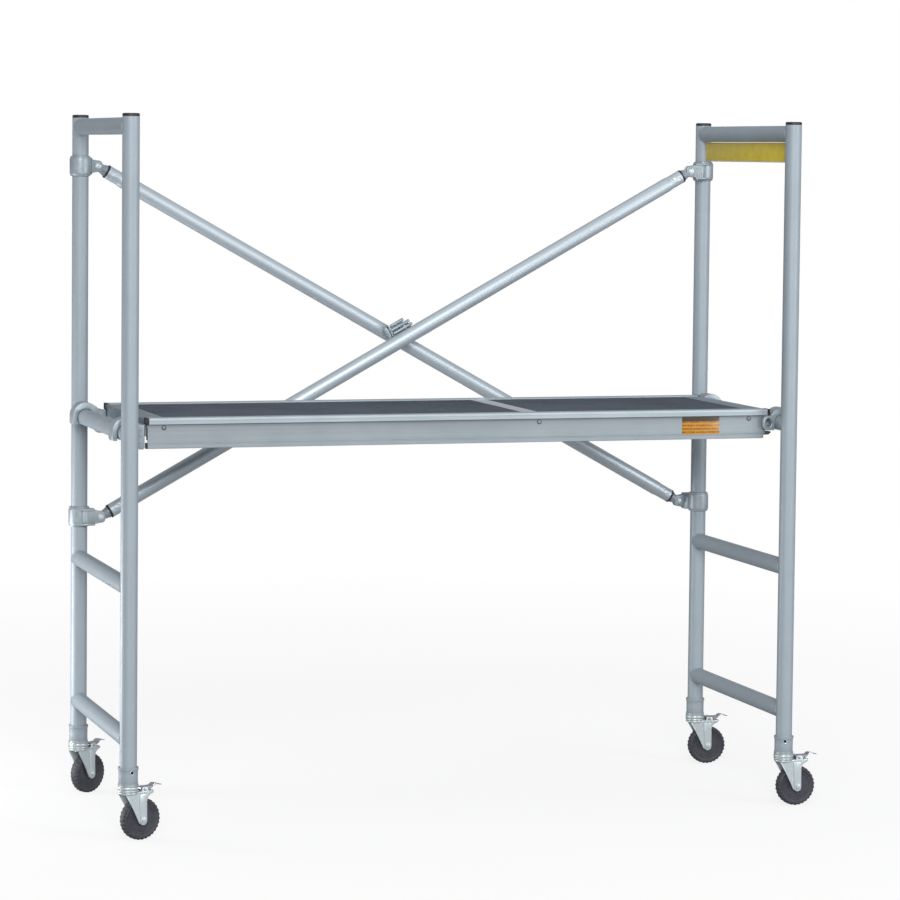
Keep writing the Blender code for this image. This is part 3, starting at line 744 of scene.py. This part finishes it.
centre = sum((point for ends in BRACE_ENDS.values() for point in ends), Vector()) / 4
rising = BRACE_ENDS["rising"]
tilt = math.atan2(rising[1].z - rising[0].z, rising[1].x - rising[0].x)
bores = [rod(BRACE_TUBE + 0.0006, a - centre, b - centre, 40) for a, b in BRACE_ENDS.values()]
coupler = cut(moved(coupler_shape(), Matrix.Rotation(-tilt, 4, "Y")), *bores)
piece("brace_coupler", coupler, cast, ROOT, ["cross_coupler"], Matrix.Translation(centre))
bolt_at = Matrix.Translation(centre) @ Matrix.Rotation(-tilt, 4, "Y")
bolt = standing(hexagon(0.01, 0.3), -0.0275, -0.0235, 0.0005)
nut = standing(hexagon(0.008, 0.1), 0.009, 0.0125, 0.0005)
bolts = shifted(together(bolt, nut), x=0.03, z=0.03)
piece("brace_coupler_bolts", bolts, zinc, ROOT, (), bolt_at)


# Platform

FLANGE = 0.019
FLANGE_WIDTH = 0.04
LEDGE_WIDTH = 0.053
COPE = 0.0195


def beam_outline():
    """x inwards from the outer face, y up from the underside."""
    top_low = BEAM_HEIGHT - FLANGE
    ledge = BEAM_HEIGHT - 0.0037 - 0.0105 - 0.0004
    groove = [(0.0, 0.0058), (0.0012, 0.0064), (0.0012, 0.0106), (0.0, 0.0112)]
    groove = [(x, top_low + up) for x, up in groove]
    return [
        (0.03, 0.0), (0.03, 0.014), (0.0085, 0.014), (0.0085, top_low),
        (LEDGE_WIDTH, top_low), (LEDGE_WIDTH, ledge), (FLANGE_WIDTH, ledge),
        (FLANGE_WIDTH, BEAM_HEIGHT - 0.0006), (FLANGE_WIDTH - 0.001, BEAM_HEIGHT),
        (0.0022, BEAM_HEIGHT), (0.0008, BEAM_HEIGHT - 0.0006), (0.0, BEAM_HEIGHT - 0.0022),
        *reversed(groove), (0.0, top_low + 0.001), (0.001, top_low), (0.0058, top_low),
        (0.0055, top_low - 0.0006), (0.0055, 0.0165), (0.0045, 0.015), (0.0024, 0.0144),
        (0.0018, 0.0134), (0.0018, 0.0124), (0.0034, 0.0116), (0.0034, 0.0016), (0.0046, 0.0),
    ]


def ruled(outline, start, end):
    """A beam section run along X."""
    return moved(loft([[(x, y, z) for x, y in outline] for z in (start, end)]), ALONG_X)


def top_plug(start, end):
    """A hollow plug that stands a little proud of the top flange's section."""
    low = BEAM_HEIGHT - FLANGE
    outer = rectangle(-0.0004, low - 0.0004, FLANGE_WIDTH + 0.0003, BEAM_HEIGHT + 0.0003, 0.002)
    inner = rectangle(0.005, low + 0.0052, FLANGE_WIDTH - 0.005, BEAM_HEIGHT - 0.005, 0.0015)
    return cut(ruled(outer, start, end), ruled(inner, start - 0.01, end + 0.01))


def low_plug(start, end):
    return ruled(rectangle(0.0012, -0.0002, 0.024, 0.0175, 0.005), start, end)


half_length = (BEAM_HIGH.x - BEAM_LOW.x) / 2
beam_mesh = ruled(beam_outline(), -half_length + 0.003, half_length - 0.003)
coped_off = rectangle(-0.01, -0.01, 0.1, BEAM_HEIGHT - FLANGE - 0.0002)
beam_mesh = cut(beam_mesh, ruled(coped_off, half_length - COPE, half_length + 0.01))
low_room = rectangle(-0.01, -0.01, 0.04, 0.021)
beam_mesh = cut(beam_mesh, ruled(low_room, -half_length - 0.01, -half_length + 0.0036))
seam = rectangle(0.0048, 0.026, 0.009, BEAM_HEIGHT - FLANGE - 0.01, 0.0006)
plugs = [
    top_plug(-half_length, -half_length + 0.0075),
    low_plug(-half_length, -half_length + 0.0034),
    ruled(seam, -half_length + 0.0002, -half_length + 0.0038),
    top_plug(half_length - 0.008, half_length),
]
BOLT_HEIGHT = 1.209
BOLT_STATIONS = (0.117, 1.286, 1.9765)
bolt_head = [(0.005, 0.0), (0.0054, 0.0006), (0.0051, 0.0012), (0.0036, 0.0018), (0.0012, 0.002)]
bolt_head = moved(turned(bolt_head, 28), TURN_UP)
# A black disc under each bolt head stands in for the shade in the gap round the head: a dark sheet put where
# there is only shade
bolt_shade_disc = rod(0.0074, (0, 0.0004, 0), (0, -0.0004, 0), 32, 0.0001)
for side, y in (("front", BEAM_LOW.y), ("rear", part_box("side_beam_rear")[1].y)):
    spot = Matrix.Translation(((BEAM_LOW.x + BEAM_HIGH.x) / 2, y, BEAM_LOW.z))
    facing = Matrix.Identity(4) if side == "front" else MIRROR_Y
    piece(f"beam_{side}", moved(beam_mesh, facing), beam, PLATFORM, [f"side_beam_{side}"], spot)
    piece(f"beam_plugs_{side}", moved(together(*plugs), facing), black, PLATFORM, (), spot)
    heads, shade_discs = [], []
    for distance in BOLT_STATIONS:
        place = (LEFT + distance - (BEAM_LOW.x + BEAM_HIGH.x) / 2, 0.0053, BOLT_HEIGHT - BEAM_LOW.z)
        heads.append(shifted(bolt_head, *place))
        shade_discs.append(shifted(bolt_shade_disc, *place))
    piece(f"beam_bolts_{side}", moved(together(*heads), facing), beam, PLATFORM, (), spot)
    piece(f"beam_bolt_shade_discs_{side}", moved(together(*shade_discs), facing), black, PLATFORM, (), spot)


def member_mesh(node, ribs):
    """A cross member: a ribbed top over the beams' ledges and a channel below, run along Y."""
    low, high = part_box(node)
    width = high.x - low.x
    length = high.y - low.y
    top = high.z - low.z
    floor = top - 0.0136
    pitch = (width - 0.006) / ribs
    valley = top - 0.0014
    wave = ((0.06, top), (0.22, valley), (0.62, valley), (0.78, top))
    outline = [(-width / 2, floor), (-width / 2, top - 0.001), (-width / 2 + 0.0012, top)]
    for i in range(ribs):
        start = -width / 2 + 0.003 + pitch * i
        outline += [(start + pitch * share, level) for share, level in wave]
    outline += [(width / 2 - 0.0012, top), (width / 2, top - 0.001), (width / 2, floor)]
    tread = loft([[(x, y, z) for x, z in outline] for y in (-length / 2, length / 2)])
    inner = length / 2 - 0.0134
    wall = 0.003
    side, inside = width / 2, width / 2 - wall
    channel = [(-side, 0.0), (-inside, 0.0), (-inside, floor - wall), (inside, floor - wall), (inside, 0.0)]
    channel += [(side, 0.0), (side, floor + 0.001), (-side, floor + 0.001)]
    trough = loft([[(x, y, z) for x, z in channel] for y in (-inner, inner)])
    return joined(tread, trough)


MEMBERS = (
    ("end_tread_left", "end_member_left", 9, tread),
    ("end_tread_right", "end_member_right", 9, tread),
    ("joint_tread", "deck_joint_strip", 3, bright),
)
for name, node, ribs, material in MEMBERS:
    low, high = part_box(node)
    spot = Matrix.Translation(((low.x + high.x) / 2, (low.y + high.y) / 2, low.z))
    piece(name, member_mesh(node, ribs), material, PLATFORM, [node], spot, angle=25)

for side in ("left", "right"):
    low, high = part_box(f"deck_panel_{side}")
    edge = rectangle(low.x + 0.0004, low.y + 0.0004, high.x - 0.0004, high.y - 0.0004, 0.002)
    board = plate(edge, low.z, high.z, 0.0008)
    piece(f"deck_board_{side}", board, deck, PLATFORM, [f"deck_panel_{side}"])


def hook_shape(side, latched):
    """A claw over the rung and a heel against the beam end, about the rung axis, +X towards the beam."""
    mouth = TUBE + 0.0008
    back = arc(0.0415, 62, 181, 8, y=0.005)
    outline = [(-mouth, -0.0225), *arc(mouth, 180, -1, -9), (mouth, -0.0225)]
    if side == "left":
        outline += [(0.0302, -0.029), (0.0307, -0.039), (0.04, -0.0488), (0.0634, -0.0488)]
        outline += [(0.0634, 0.0225), (0.042, 0.024), (0.033, 0.033), *back]
    else:
        outline += [(0.03, -0.0238), (0.0574, -0.0238), (0.0574, 0.0218), (0.038, 0.0218)]
        outline += [(0.0376, 0.025), (0.03, 0.0345), *back[1:]]
    outline += [(-0.0415, -0.017), (-0.0392, -0.0222)]
    mesh = standing(outline, 0.049, 0.103, 0.0024 if side == "left" else 0.0016)
    latch_slot = standing(rectangle(0.0, -0.0402, 0.1, -0.0278), 0.0735, 0.0925, 0.0001)
    if side == "left":
        for height in (-0.03, -0.01, 0.01):
            rib = rod(0.0022, (0.038, 0.0492, height), (0.05, 0.0492, height), 12, 0.001)
            mesh = joined(mesh, rib)
        mesh = cut(mesh, standing(rectangle(0.053, -0.06, 0.08, 0.06), 0.04, 0.086, 0.0001))
        if latched:
            mesh = cut(mesh, latch_slot)
        return mesh
    lobe = [(0.03, -0.0236), (0.056, -0.0236), (0.0665, -0.014)]
    lobe += [(0.0665, 0.01), (0.059, 0.0205), (0.03, 0.0205)]
    mesh = joined(mesh, standing(rounded(lobe, 0.008, 6), 0.0472, 0.0618, 0.0024))
    boss = Matrix.Translation((0.049, 0.0472, 0.0)) @ TURN_UP
    rim = [(0.029, 0.035, -0.0015), (0.0285, 0.0345, 0.0012), (0.0255, 0.0315, 0.002)]
    rim += [(0.0225, 0.0285, 0.0012), (0.022, 0.028, -0.0015)]
    rim = loft([[(x, y, up) for x, y in oval(width, height)] for width, height, up in rim], wrap=True)
    pocket = loft([[(x, y, up) for x, y in oval(0.0222, 0.0282)] for up in (-0.03, 0.02)])
    mesh = cut(joined(mesh, moved(rim, boss)), moved(pocket, boss))
    if latched:
        guide = standing(rectangle(0.05, -0.0343, 0.0678, -0.0102, 0.0015), 0.0702, 0.0958, 0.001)
        mesh = cut(joined(mesh, guide), latch_slot)
    return mesh


def latch_shape():
    """The finger that slides under the rung, with a thumb tab at its tail."""
    outline = [(0.0282, -0.033), (0.036, -0.0394), (0.0558, -0.0394), (0.0562, -0.0346)]
    outline += [(0.1028, -0.0346), (0.1028, -0.0152), (0.0992, -0.0152), (0.0992, -0.0288)]
    outline += [(0.03, -0.0288), (0.0282, -0.0304)]
    return standing(rounded(outline, 0.0012, 3), 0.0745, 0.0915, 0.0008)


latch = latch_shape()
for station in STATIONS:
    x, y, _ = AXES[station]
    latched = station in ("front_right", "rear_left")
    facing = Matrix.Identity(4)
    if station.endswith("right"):
        facing = facing @ MIRROR_X
    if station.startswith("rear"):
        facing = facing @ MIRROR_Y
    spot = Matrix.Translation((x, y, PLATFORM_RUNG))
    hook = hook_shape(station.split("_")[1], latched)
    piece(f"claw_{station}", moved(hook, facing), cast, PLATFORM, [f"hook_{station}"], spot)
    if latched:
        node = f"latch_{station}"
        piece(f"latch_finger_{station}", moved(latch, facing), dull, node, [node], spot)

# The label's distances from the left uprights' axis, and its heights
LABEL_START, LABEL_END = 1.754, 1.878
LABEL_LOW, LABEL_HEADER, LABEL_HIGH = 1.156, 1.2025, 1.217
label = rectangle(LEFT + LABEL_START, LABEL_LOW, LEFT + LABEL_END, LABEL_HIGH, 0.002)
label = plate(label, -0.0002, 0.0002, 0.0001)
label = moved(label, Matrix.Translation((0, BEAM_LOW.y + 0.0055 - 0.0004, 0)) @ TURN_UP)
piece("orange_label", label, make_orange(LABEL_HEADER), PLATFORM)


# Casters, built about the swivel axis with the wheel trailing towards +X

WHEEL = 0.0625
TRAIL = 0.04
LEG = (0.0195, 0.0225)
PEDAL_PIN = (0.044, 0, 0.1515)


def socket_shape():
    """The sleeve with its rim; the upright stands in it."""
    bore = TUBE + 0.0005
    profile = [(bore, 0.1718), (0.0282, 0.1718), (0.0284, 0.1722), (0.0284, 0.196), (0.0286, 0.1962)]
    profile += [(0.0286, 0.211), (0.029, 0.2118), (0.0302, 0.2122), (0.0306, 0.213), (0.0306, 0.2186)]
    profile += [(0.03, 0.2195), (bore + 0.001, 0.2195), (bore, 0.2188)]
    return cut(turned(profile, 64, wrap=True), lock_hole())


def eye_shape():
    """The ring round the lock hole."""
    ring = [(0.0052, 0.0), (0.0062, 0.0), (0.0064, 0.0008), (0.0058, 0.0012), (0.0052, 0.001)]
    ring = turned(ring, 28, wrap=True)
    return moved(ring, Matrix.Translation((0, -0.0282, LOCK_HEIGHT)) @ TURN_UP)


def race_shape():
    """Flange, ball race and king pin in one turned piece."""
    profile = [(0.006, 0.1716), (0.0296, 0.1716), (0.0302, 0.171), (0.0302, 0.17), (0.0264, 0.1694)]
    profile += [(0.0264, 0.168), (0.0304, 0.1674), (0.0304, 0.1652), (0.0264, 0.1644), (0.0264, 0.1626)]
    profile += [(0.0306, 0.1618), (0.0312, 0.1602), (0.0312, 0.1566), (0.0308, 0.1552), (0.0268, 0.1544)]
    profile += [(0.0268, 0.1528), (0.0306, 0.152), (0.0311, 0.1506), (0.0308, 0.1484), (0.029, 0.1466)]
    profile += [(0.008, 0.1464), (0.008, 0.1398), (0.0118, 0.1396), (0.0118, 0.135), (0.008, 0.1344)]
    profile.append((0.002, 0.1344))
    return turned(profile, 64)


def fork_shape():
    """Pressed steel: a crown plate, two tapering legs with an upright rib, and ears for the pedal pin."""
    inner, outer = LEG
    edge = [(0.079, 0.012), (0.074, 0.018), (0.05, outer), (0.02, outer)]
    back = arc(0.0298, 50, 311, 10)
    crown = plate([*edge, *back, *[(x, -y) for x, y in reversed(edge)]], 0.1406, 0.1458, 0.0012)
    bottom = arc(0.0132, 215, 326, 10, TRAIL, WHEEL - 0.0035)
    leg = [(-0.0195, 0.1448), (-0.0185, 0.137), (0.0, 0.105), (0.025, 0.053), *bottom]
    leg += [(0.0526, 0.058), (0.052, 0.115), (0.0545, 0.1265), (0.06, 0.133), (0.074, 0.14)]
    leg += [(0.075, 0.1448), (0.056, 0.1448), (0.0545, 0.156), (0.05, 0.158), (0.038, 0.158)]
    leg += [(0.035, 0.156), (0.0335, 0.1448)]
    rib = [(0.0285, 0.056), (0.033, 0.05), (0.047, 0.05), (0.05, 0.056), (0.0498, 0.118)]
    rib += [(0.052, 0.13), (0.05, 0.1385), (0.025, 0.1385), (0.0262, 0.11)]
    rib = rounded(rib, 0.005, 4)
    border = [(-0.019, 0.137), (0.0, 0.1042), (0.0252, 0.0522)]
    border += [(0.0272, 0.054), (0.0024, 0.1055), (-0.015, 0.137)]
    parts = [crown]
    for side in (1, -1):
        low, high = sorted((side * inner, side * outer))
        parts.append(standing(leg, low, high, 0.0009))
        low, high = sorted((side * (outer - 0.0005), side * (outer + 0.0022)))
        parts.append(standing(rib, low, high, 0.0012))
        parts.append(standing(border, low, high, 0.0007))
    king_hole = rod(0.0086, (0, 0, 0.12), (0, 0, 0.16), 32)
    cam_slot = plate(rectangle(0.0415, -0.0105, 0.0585, 0.0105, 0.001), 0.13, 0.15, 0.0001)
    pedal_hole = rod(0.0036, (PEDAL_PIN[0], -0.1, PEDAL_PIN[2]), (PEDAL_PIN[0], 0.1, PEDAL_PIN[2]), 20)
    axle_hole = rod(0.0045, (TRAIL, -0.1, WHEEL), (TRAIL, 0.1, WHEEL), 20)
    return cut(joined(*parts), king_hole, cam_slot, pedal_hole, axle_hole)


def axle_shape():
    """A bolt with a hexagon head, washers and a nut, along Y at the origin."""
    half = LEG[1] + 0.0013
    shank = rod(0.004, (0, -half - 0.003, 0), (0, half + 0.003, 0), 20)
    head = standing(hexagon(0.013), -half - 0.0052, -half - 0.001, 0.0006)
    nut = standing(hexagon(0.013, 0.4), half + 0.001, half + 0.005, 0.0006)
    starts = (-half - 0.0012, half + 0.0001)
    washers = [rod(0.008, (0, y, 0), (0, y + 0.0011, 0), 28, 0.0003) for y in starts]
    return joined(shank, head, nut, *washers)


def wheel_shape():
    """A moulded wheel: hub, dished side with rings, and a tyre whose shoulders carry lugs."""
    half = [(0.0048, 0.0185), (0.011, 0.0185), (0.012, 0.0178), (0.0124, 0.013), (0.015, 0.0112)]
    half += [(0.033, 0.0106), (0.0345, 0.0116), (0.0362, 0.0116), (0.0376, 0.0108), (0.041, 0.0116)]
    half += [(0.0424, 0.0132), (0.044, 0.0134), (0.0452, 0.0126), (0.049, 0.014), (0.052, 0.0152)]
    half += [(0.0532, 0.0162), (0.0546, 0.0162), (0.056, 0.0154), (0.059, 0.0146), (0.0612, 0.0122)]
    half += [(0.0622, 0.009), (0.0625, 0.004)]
    rings = []
    for radius, width in mirrored(half):
        ring = []
        for a in full_turn(180):
            grip = min(1.0, max(0.0, (radius - 0.0545) / 0.006)) * min(1.0, abs(width) / 0.0088)
            phase = a * 30 + (math.pi if width < 0 else 0.0)
            groove = min(1.0, max(0.0, 0.5 + 1.6 * math.sin(phase))) if radius > 0.05 else 0.0
            r = radius - 0.0022 * grip * groove
            ring.append((r * math.cos(a), r * math.sin(a), width))
        rings.append(ring)
    return moved(loft(rings, wrap=True), TURN_UP)


def pedal_shape():
    """A pressed foot lever about its pin along Y: a plate, a hooded tip, side flanges and a cam."""
    half = 0.0133
    stations = [(-0.0095, 0.0042, 0.0064, 1.0), (0.02, 0.0042, 0.0064, 1.0), (0.031, 0.0042, 0.0068, 1.0)]
    stations += [(0.0345, 0.0052, 0.01, 0.98), (0.0375, 0.0072, 0.0126, 0.94), (0.042, 0.0094, 0.0133, 0.9)]
    stations += [(0.048, 0.0092, 0.0122, 0.84), (0.056, 0.0072, 0.0096, 0.72), (0.063, 0.0054, 0.0074, 0.52)]
    stations.append((0.0678, 0.005, 0.0064, 0.26))
    rings = []
    for x, low, high, share in stations:
        w = half * share
        bow = 0.001 * share
        side = [(w, (low + high) / 2), (w - 0.0008, high - 0.0003), (0.5 * w, high + 0.3 * bow)]
        over = [*side, (0.0, high + 0.4 * bow), *[(-y, z) for y, z in reversed(side)]]
        rings.append([(x, y, z) for y, z in [(-w, low), (w, low), *over]])
    lever = loft(rings)
    cheek = [(-0.008, 0.0046), (-0.006, -0.005), (0.006, -0.007), (0.03, 0.001), (0.034, 0.0046)]
    cheek = rounded(cheek, 0.003, 4)
    cheeks = [standing(cheek, y, y + 0.0018, 0.0005) for y in (-half, half - 0.0018)]
    barrel = rod(0.0048, (0, -0.0186, 0), (0, 0.0186, 0), 24, 0.0006)
    pin = rod(0.0032, (0, -0.0248, 0), (0, 0.0248, 0), 20, 0.0006)
    cam = rounded([(0.0022, -0.0238), (0.0102, -0.0238), (0.0112, 0.003), (0.0012, 0.003)], 0.002)
    cam = standing(cam, -0.0078, 0.0078, 0.0006)
    return joined(lever, *cheeks, barrel, pin, cam)


socket, eye = socket_shape(), eye_shape()
race, fork, axle, wheel, pedal = race_shape(), fork_shape(), axle_shape(), wheel_shape(), pedal_shape()
for station in STATIONS:
    x, y, _ = AXES[station]
    spot = Matrix.Translation((x, y, 0))
    facing = Matrix.Rotation(math.radians(HOLE_TURN[station]), 4, "Z")
    piece(f"sleeve_{station}", moved(socket, facing), paint, ROOT, (), spot)
    piece(f"sleeve_eye_{station}", moved(eye, facing), bright, ROOT, (), spot)
    piece(f"race_{station}", race, zinc, ROOT, [f"caster_socket_{station}"], spot)
    swivel = Matrix.Rotation(SWIVELS[station], 4, "Z")
    hub = Matrix.Translation(swivel @ Vector((TRAIL, 0, WHEEL)))
    pin = Matrix.Translation(swivel @ Vector(PEDAL_PIN))
    roll = swivel @ Matrix.Rotation(0.7 * STATIONS.index(station), 4, "Y")
    body = f"fork_{station}"
    piece(f"fork_{station}", moved(fork, swivel), zinc, body, [f"caster_fork_{station}"], spot)
    piece(f"axle_{station}", moved(axle, swivel), zinc, body, [f"wheel_axle_{station}"], spot @ hub)
    body = f"wheel_{station}"
    piece(f"tyre_{station}", moved(wheel, roll), rubber, body, [f"wheel_{station}"], spot @ hub)
    lever = moved(pedal, swivel)
    body = f"pedal_{station}"
    piece(f"pedal_{station}", lever, pedal_zinc, body, [f"brake_pedal_{station}"], spot @ pin)


# Stage


def make_stage():
    """A pale floor that fades into the backdrop; it bounces back less light than the camera sees on it."""
    material = new_material("stage_finish", 0.0, specular=0.0)
    tone = noise(material, 0.6, 2.0)
    seen = add_node(material, "LightPath", {})
    pale = ramp(material, tone, [(0.3, (0.86, 0.86, 0.86)), (0.7, (0.9, 0.9, 0.9))])
    sheen = ramp(material, tone, [(0.3, 0.9), (0.7, 0.95)])
    colour = mixed(material, seen, (0.46, 0.46, 0.46), pale)
    wire(material, colour, sheen, bump(material, noise(material, 30.0), 0.0001, 0.1))
    glow = add_node(material, "Emission", {"Color": (1.0, 1.0, 1.0, 1.0), "Strength": 1.0})
    away = place_in(material, (0.125, 0.125, 0.125))
    reach = add_node(material, "VectorMath", {0: away}, output=1, operation="LENGTH")
    fade = math_node(material, "MULTIPLY", ramp(material, reach, [(0.15, 0.8), (0.7, 1.0)]), seen)
    tree = material.node_tree
    surface = tree.nodes["Principled BSDF"].outputs[0]
    blend = add_node(material, "MixShader", {0: fade, 1: surface, 2: glow})
    tree.links.new(blend, tree.nodes["Material Output"].inputs[0])
    shape = bmesh.new()
    bmesh.ops.create_grid(shape, x_segments=1, y_segments=1, size=60.0)
    mesh = bpy.data.meshes.new("floor")
    shape.to_mesh(mesh)
    shape.free()
    mesh.materials.append(material)
    floor = bpy.data.objects.new("floor", mesh)
    scene.collection.objects.link(floor)


def area_light(name, place, aim, size, power, colour=(1.0, 1.0, 1.0)):
    light = bpy.data.lights.new(name, "AREA")
    light.shape = "DISK"
    light.size = size
    light.energy = power
    light.color = colour
    made = bpy.data.objects.new(name, light)
    towards = (Vector(aim) - Vector(place)).to_track_quat("-Z", "Y")
    made.matrix_world = Matrix.Translation(place) @ towards.to_matrix().to_4x4()
    scene.collection.objects.link(made)


def make_lights():
    area_light("key", (-4.0, -14.0, 7.0), (0, 0, 1.0), 7.0, 1880.0, (1.0, 0.995, 0.98))
    area_light("side", (6.5, -7.0, 3.0), (0, 0, 1.0), 4.0, 330.0, (0.97, 0.985, 1.0))
    area_light("top", (0.0, 0.4, 7.0), (0, 0, 0.8), 5.0, 30.0)
    area_light("low", (-2.6, 0.8, 0.3), (-1.08, 0, 0.4), 0.8, 34.0)
    world = bpy.data.worlds.new("studio")
    world.use_nodes = True
    nodes, links = world.node_tree.nodes, world.node_tree.links
    around = nodes["Background"]
    around.inputs["Color"].default_value = (0.95, 0.975, 1.0, 1.0)
    around.inputs["Strength"].default_value = 0.42
    backdrop = nodes.new("ShaderNodeBackground")
    backdrop.inputs["Color"].default_value = (1.0, 1.0, 1.0, 1.0)
    backdrop.inputs["Strength"].default_value = 1.0
    seen = nodes.new("ShaderNodeLightPath")
    mix = nodes.new("ShaderNodeMixShader")
    links.new(seen.outputs["Is Camera Ray"], mix.inputs[0])
    links.new(around.outputs[0], mix.inputs[1])
    links.new(backdrop.outputs[0], mix.inputs[2])
    links.new(mix.outputs[0], nodes["World Output"].inputs[0])
    scene.world = world
    scene.view_settings.view_transform = "Standard"


def make_camera():
    camera = bpy.data.cameras.new("camera")
    camera.lens = 132.39
    camera.sensor_width = 36.0
    camera.shift_y = -0.1111
    camera.clip_end = 200.0
    yaw, pitch, roll = math.radians(17.76095), math.radians(3.42251), math.radians(0.59041)
    forward = Vector((math.sin(yaw) * math.cos(pitch), math.cos(yaw) * math.cos(pitch), -math.sin(pitch)))
    right = Vector((math.cos(yaw), -math.sin(yaw), 0.0))
    up = right.cross(forward)
    across = right * math.cos(roll) + up * math.sin(roll)
    upwards = up * math.cos(roll) - right * math.sin(roll)
    made = bpy.data.objects.new("camera", camera)
    place = Vector((LEFT - 2.04482, FRONT - 9.43365, 2.02724))
    turn = Matrix((across, upwards, -forward)).transposed().to_4x4()
    made.matrix_world = Matrix.Translation(place) @ turn
    scene.collection.objects.link(made)
    scene.camera = made


make_stage()
make_lights()
make_camera()
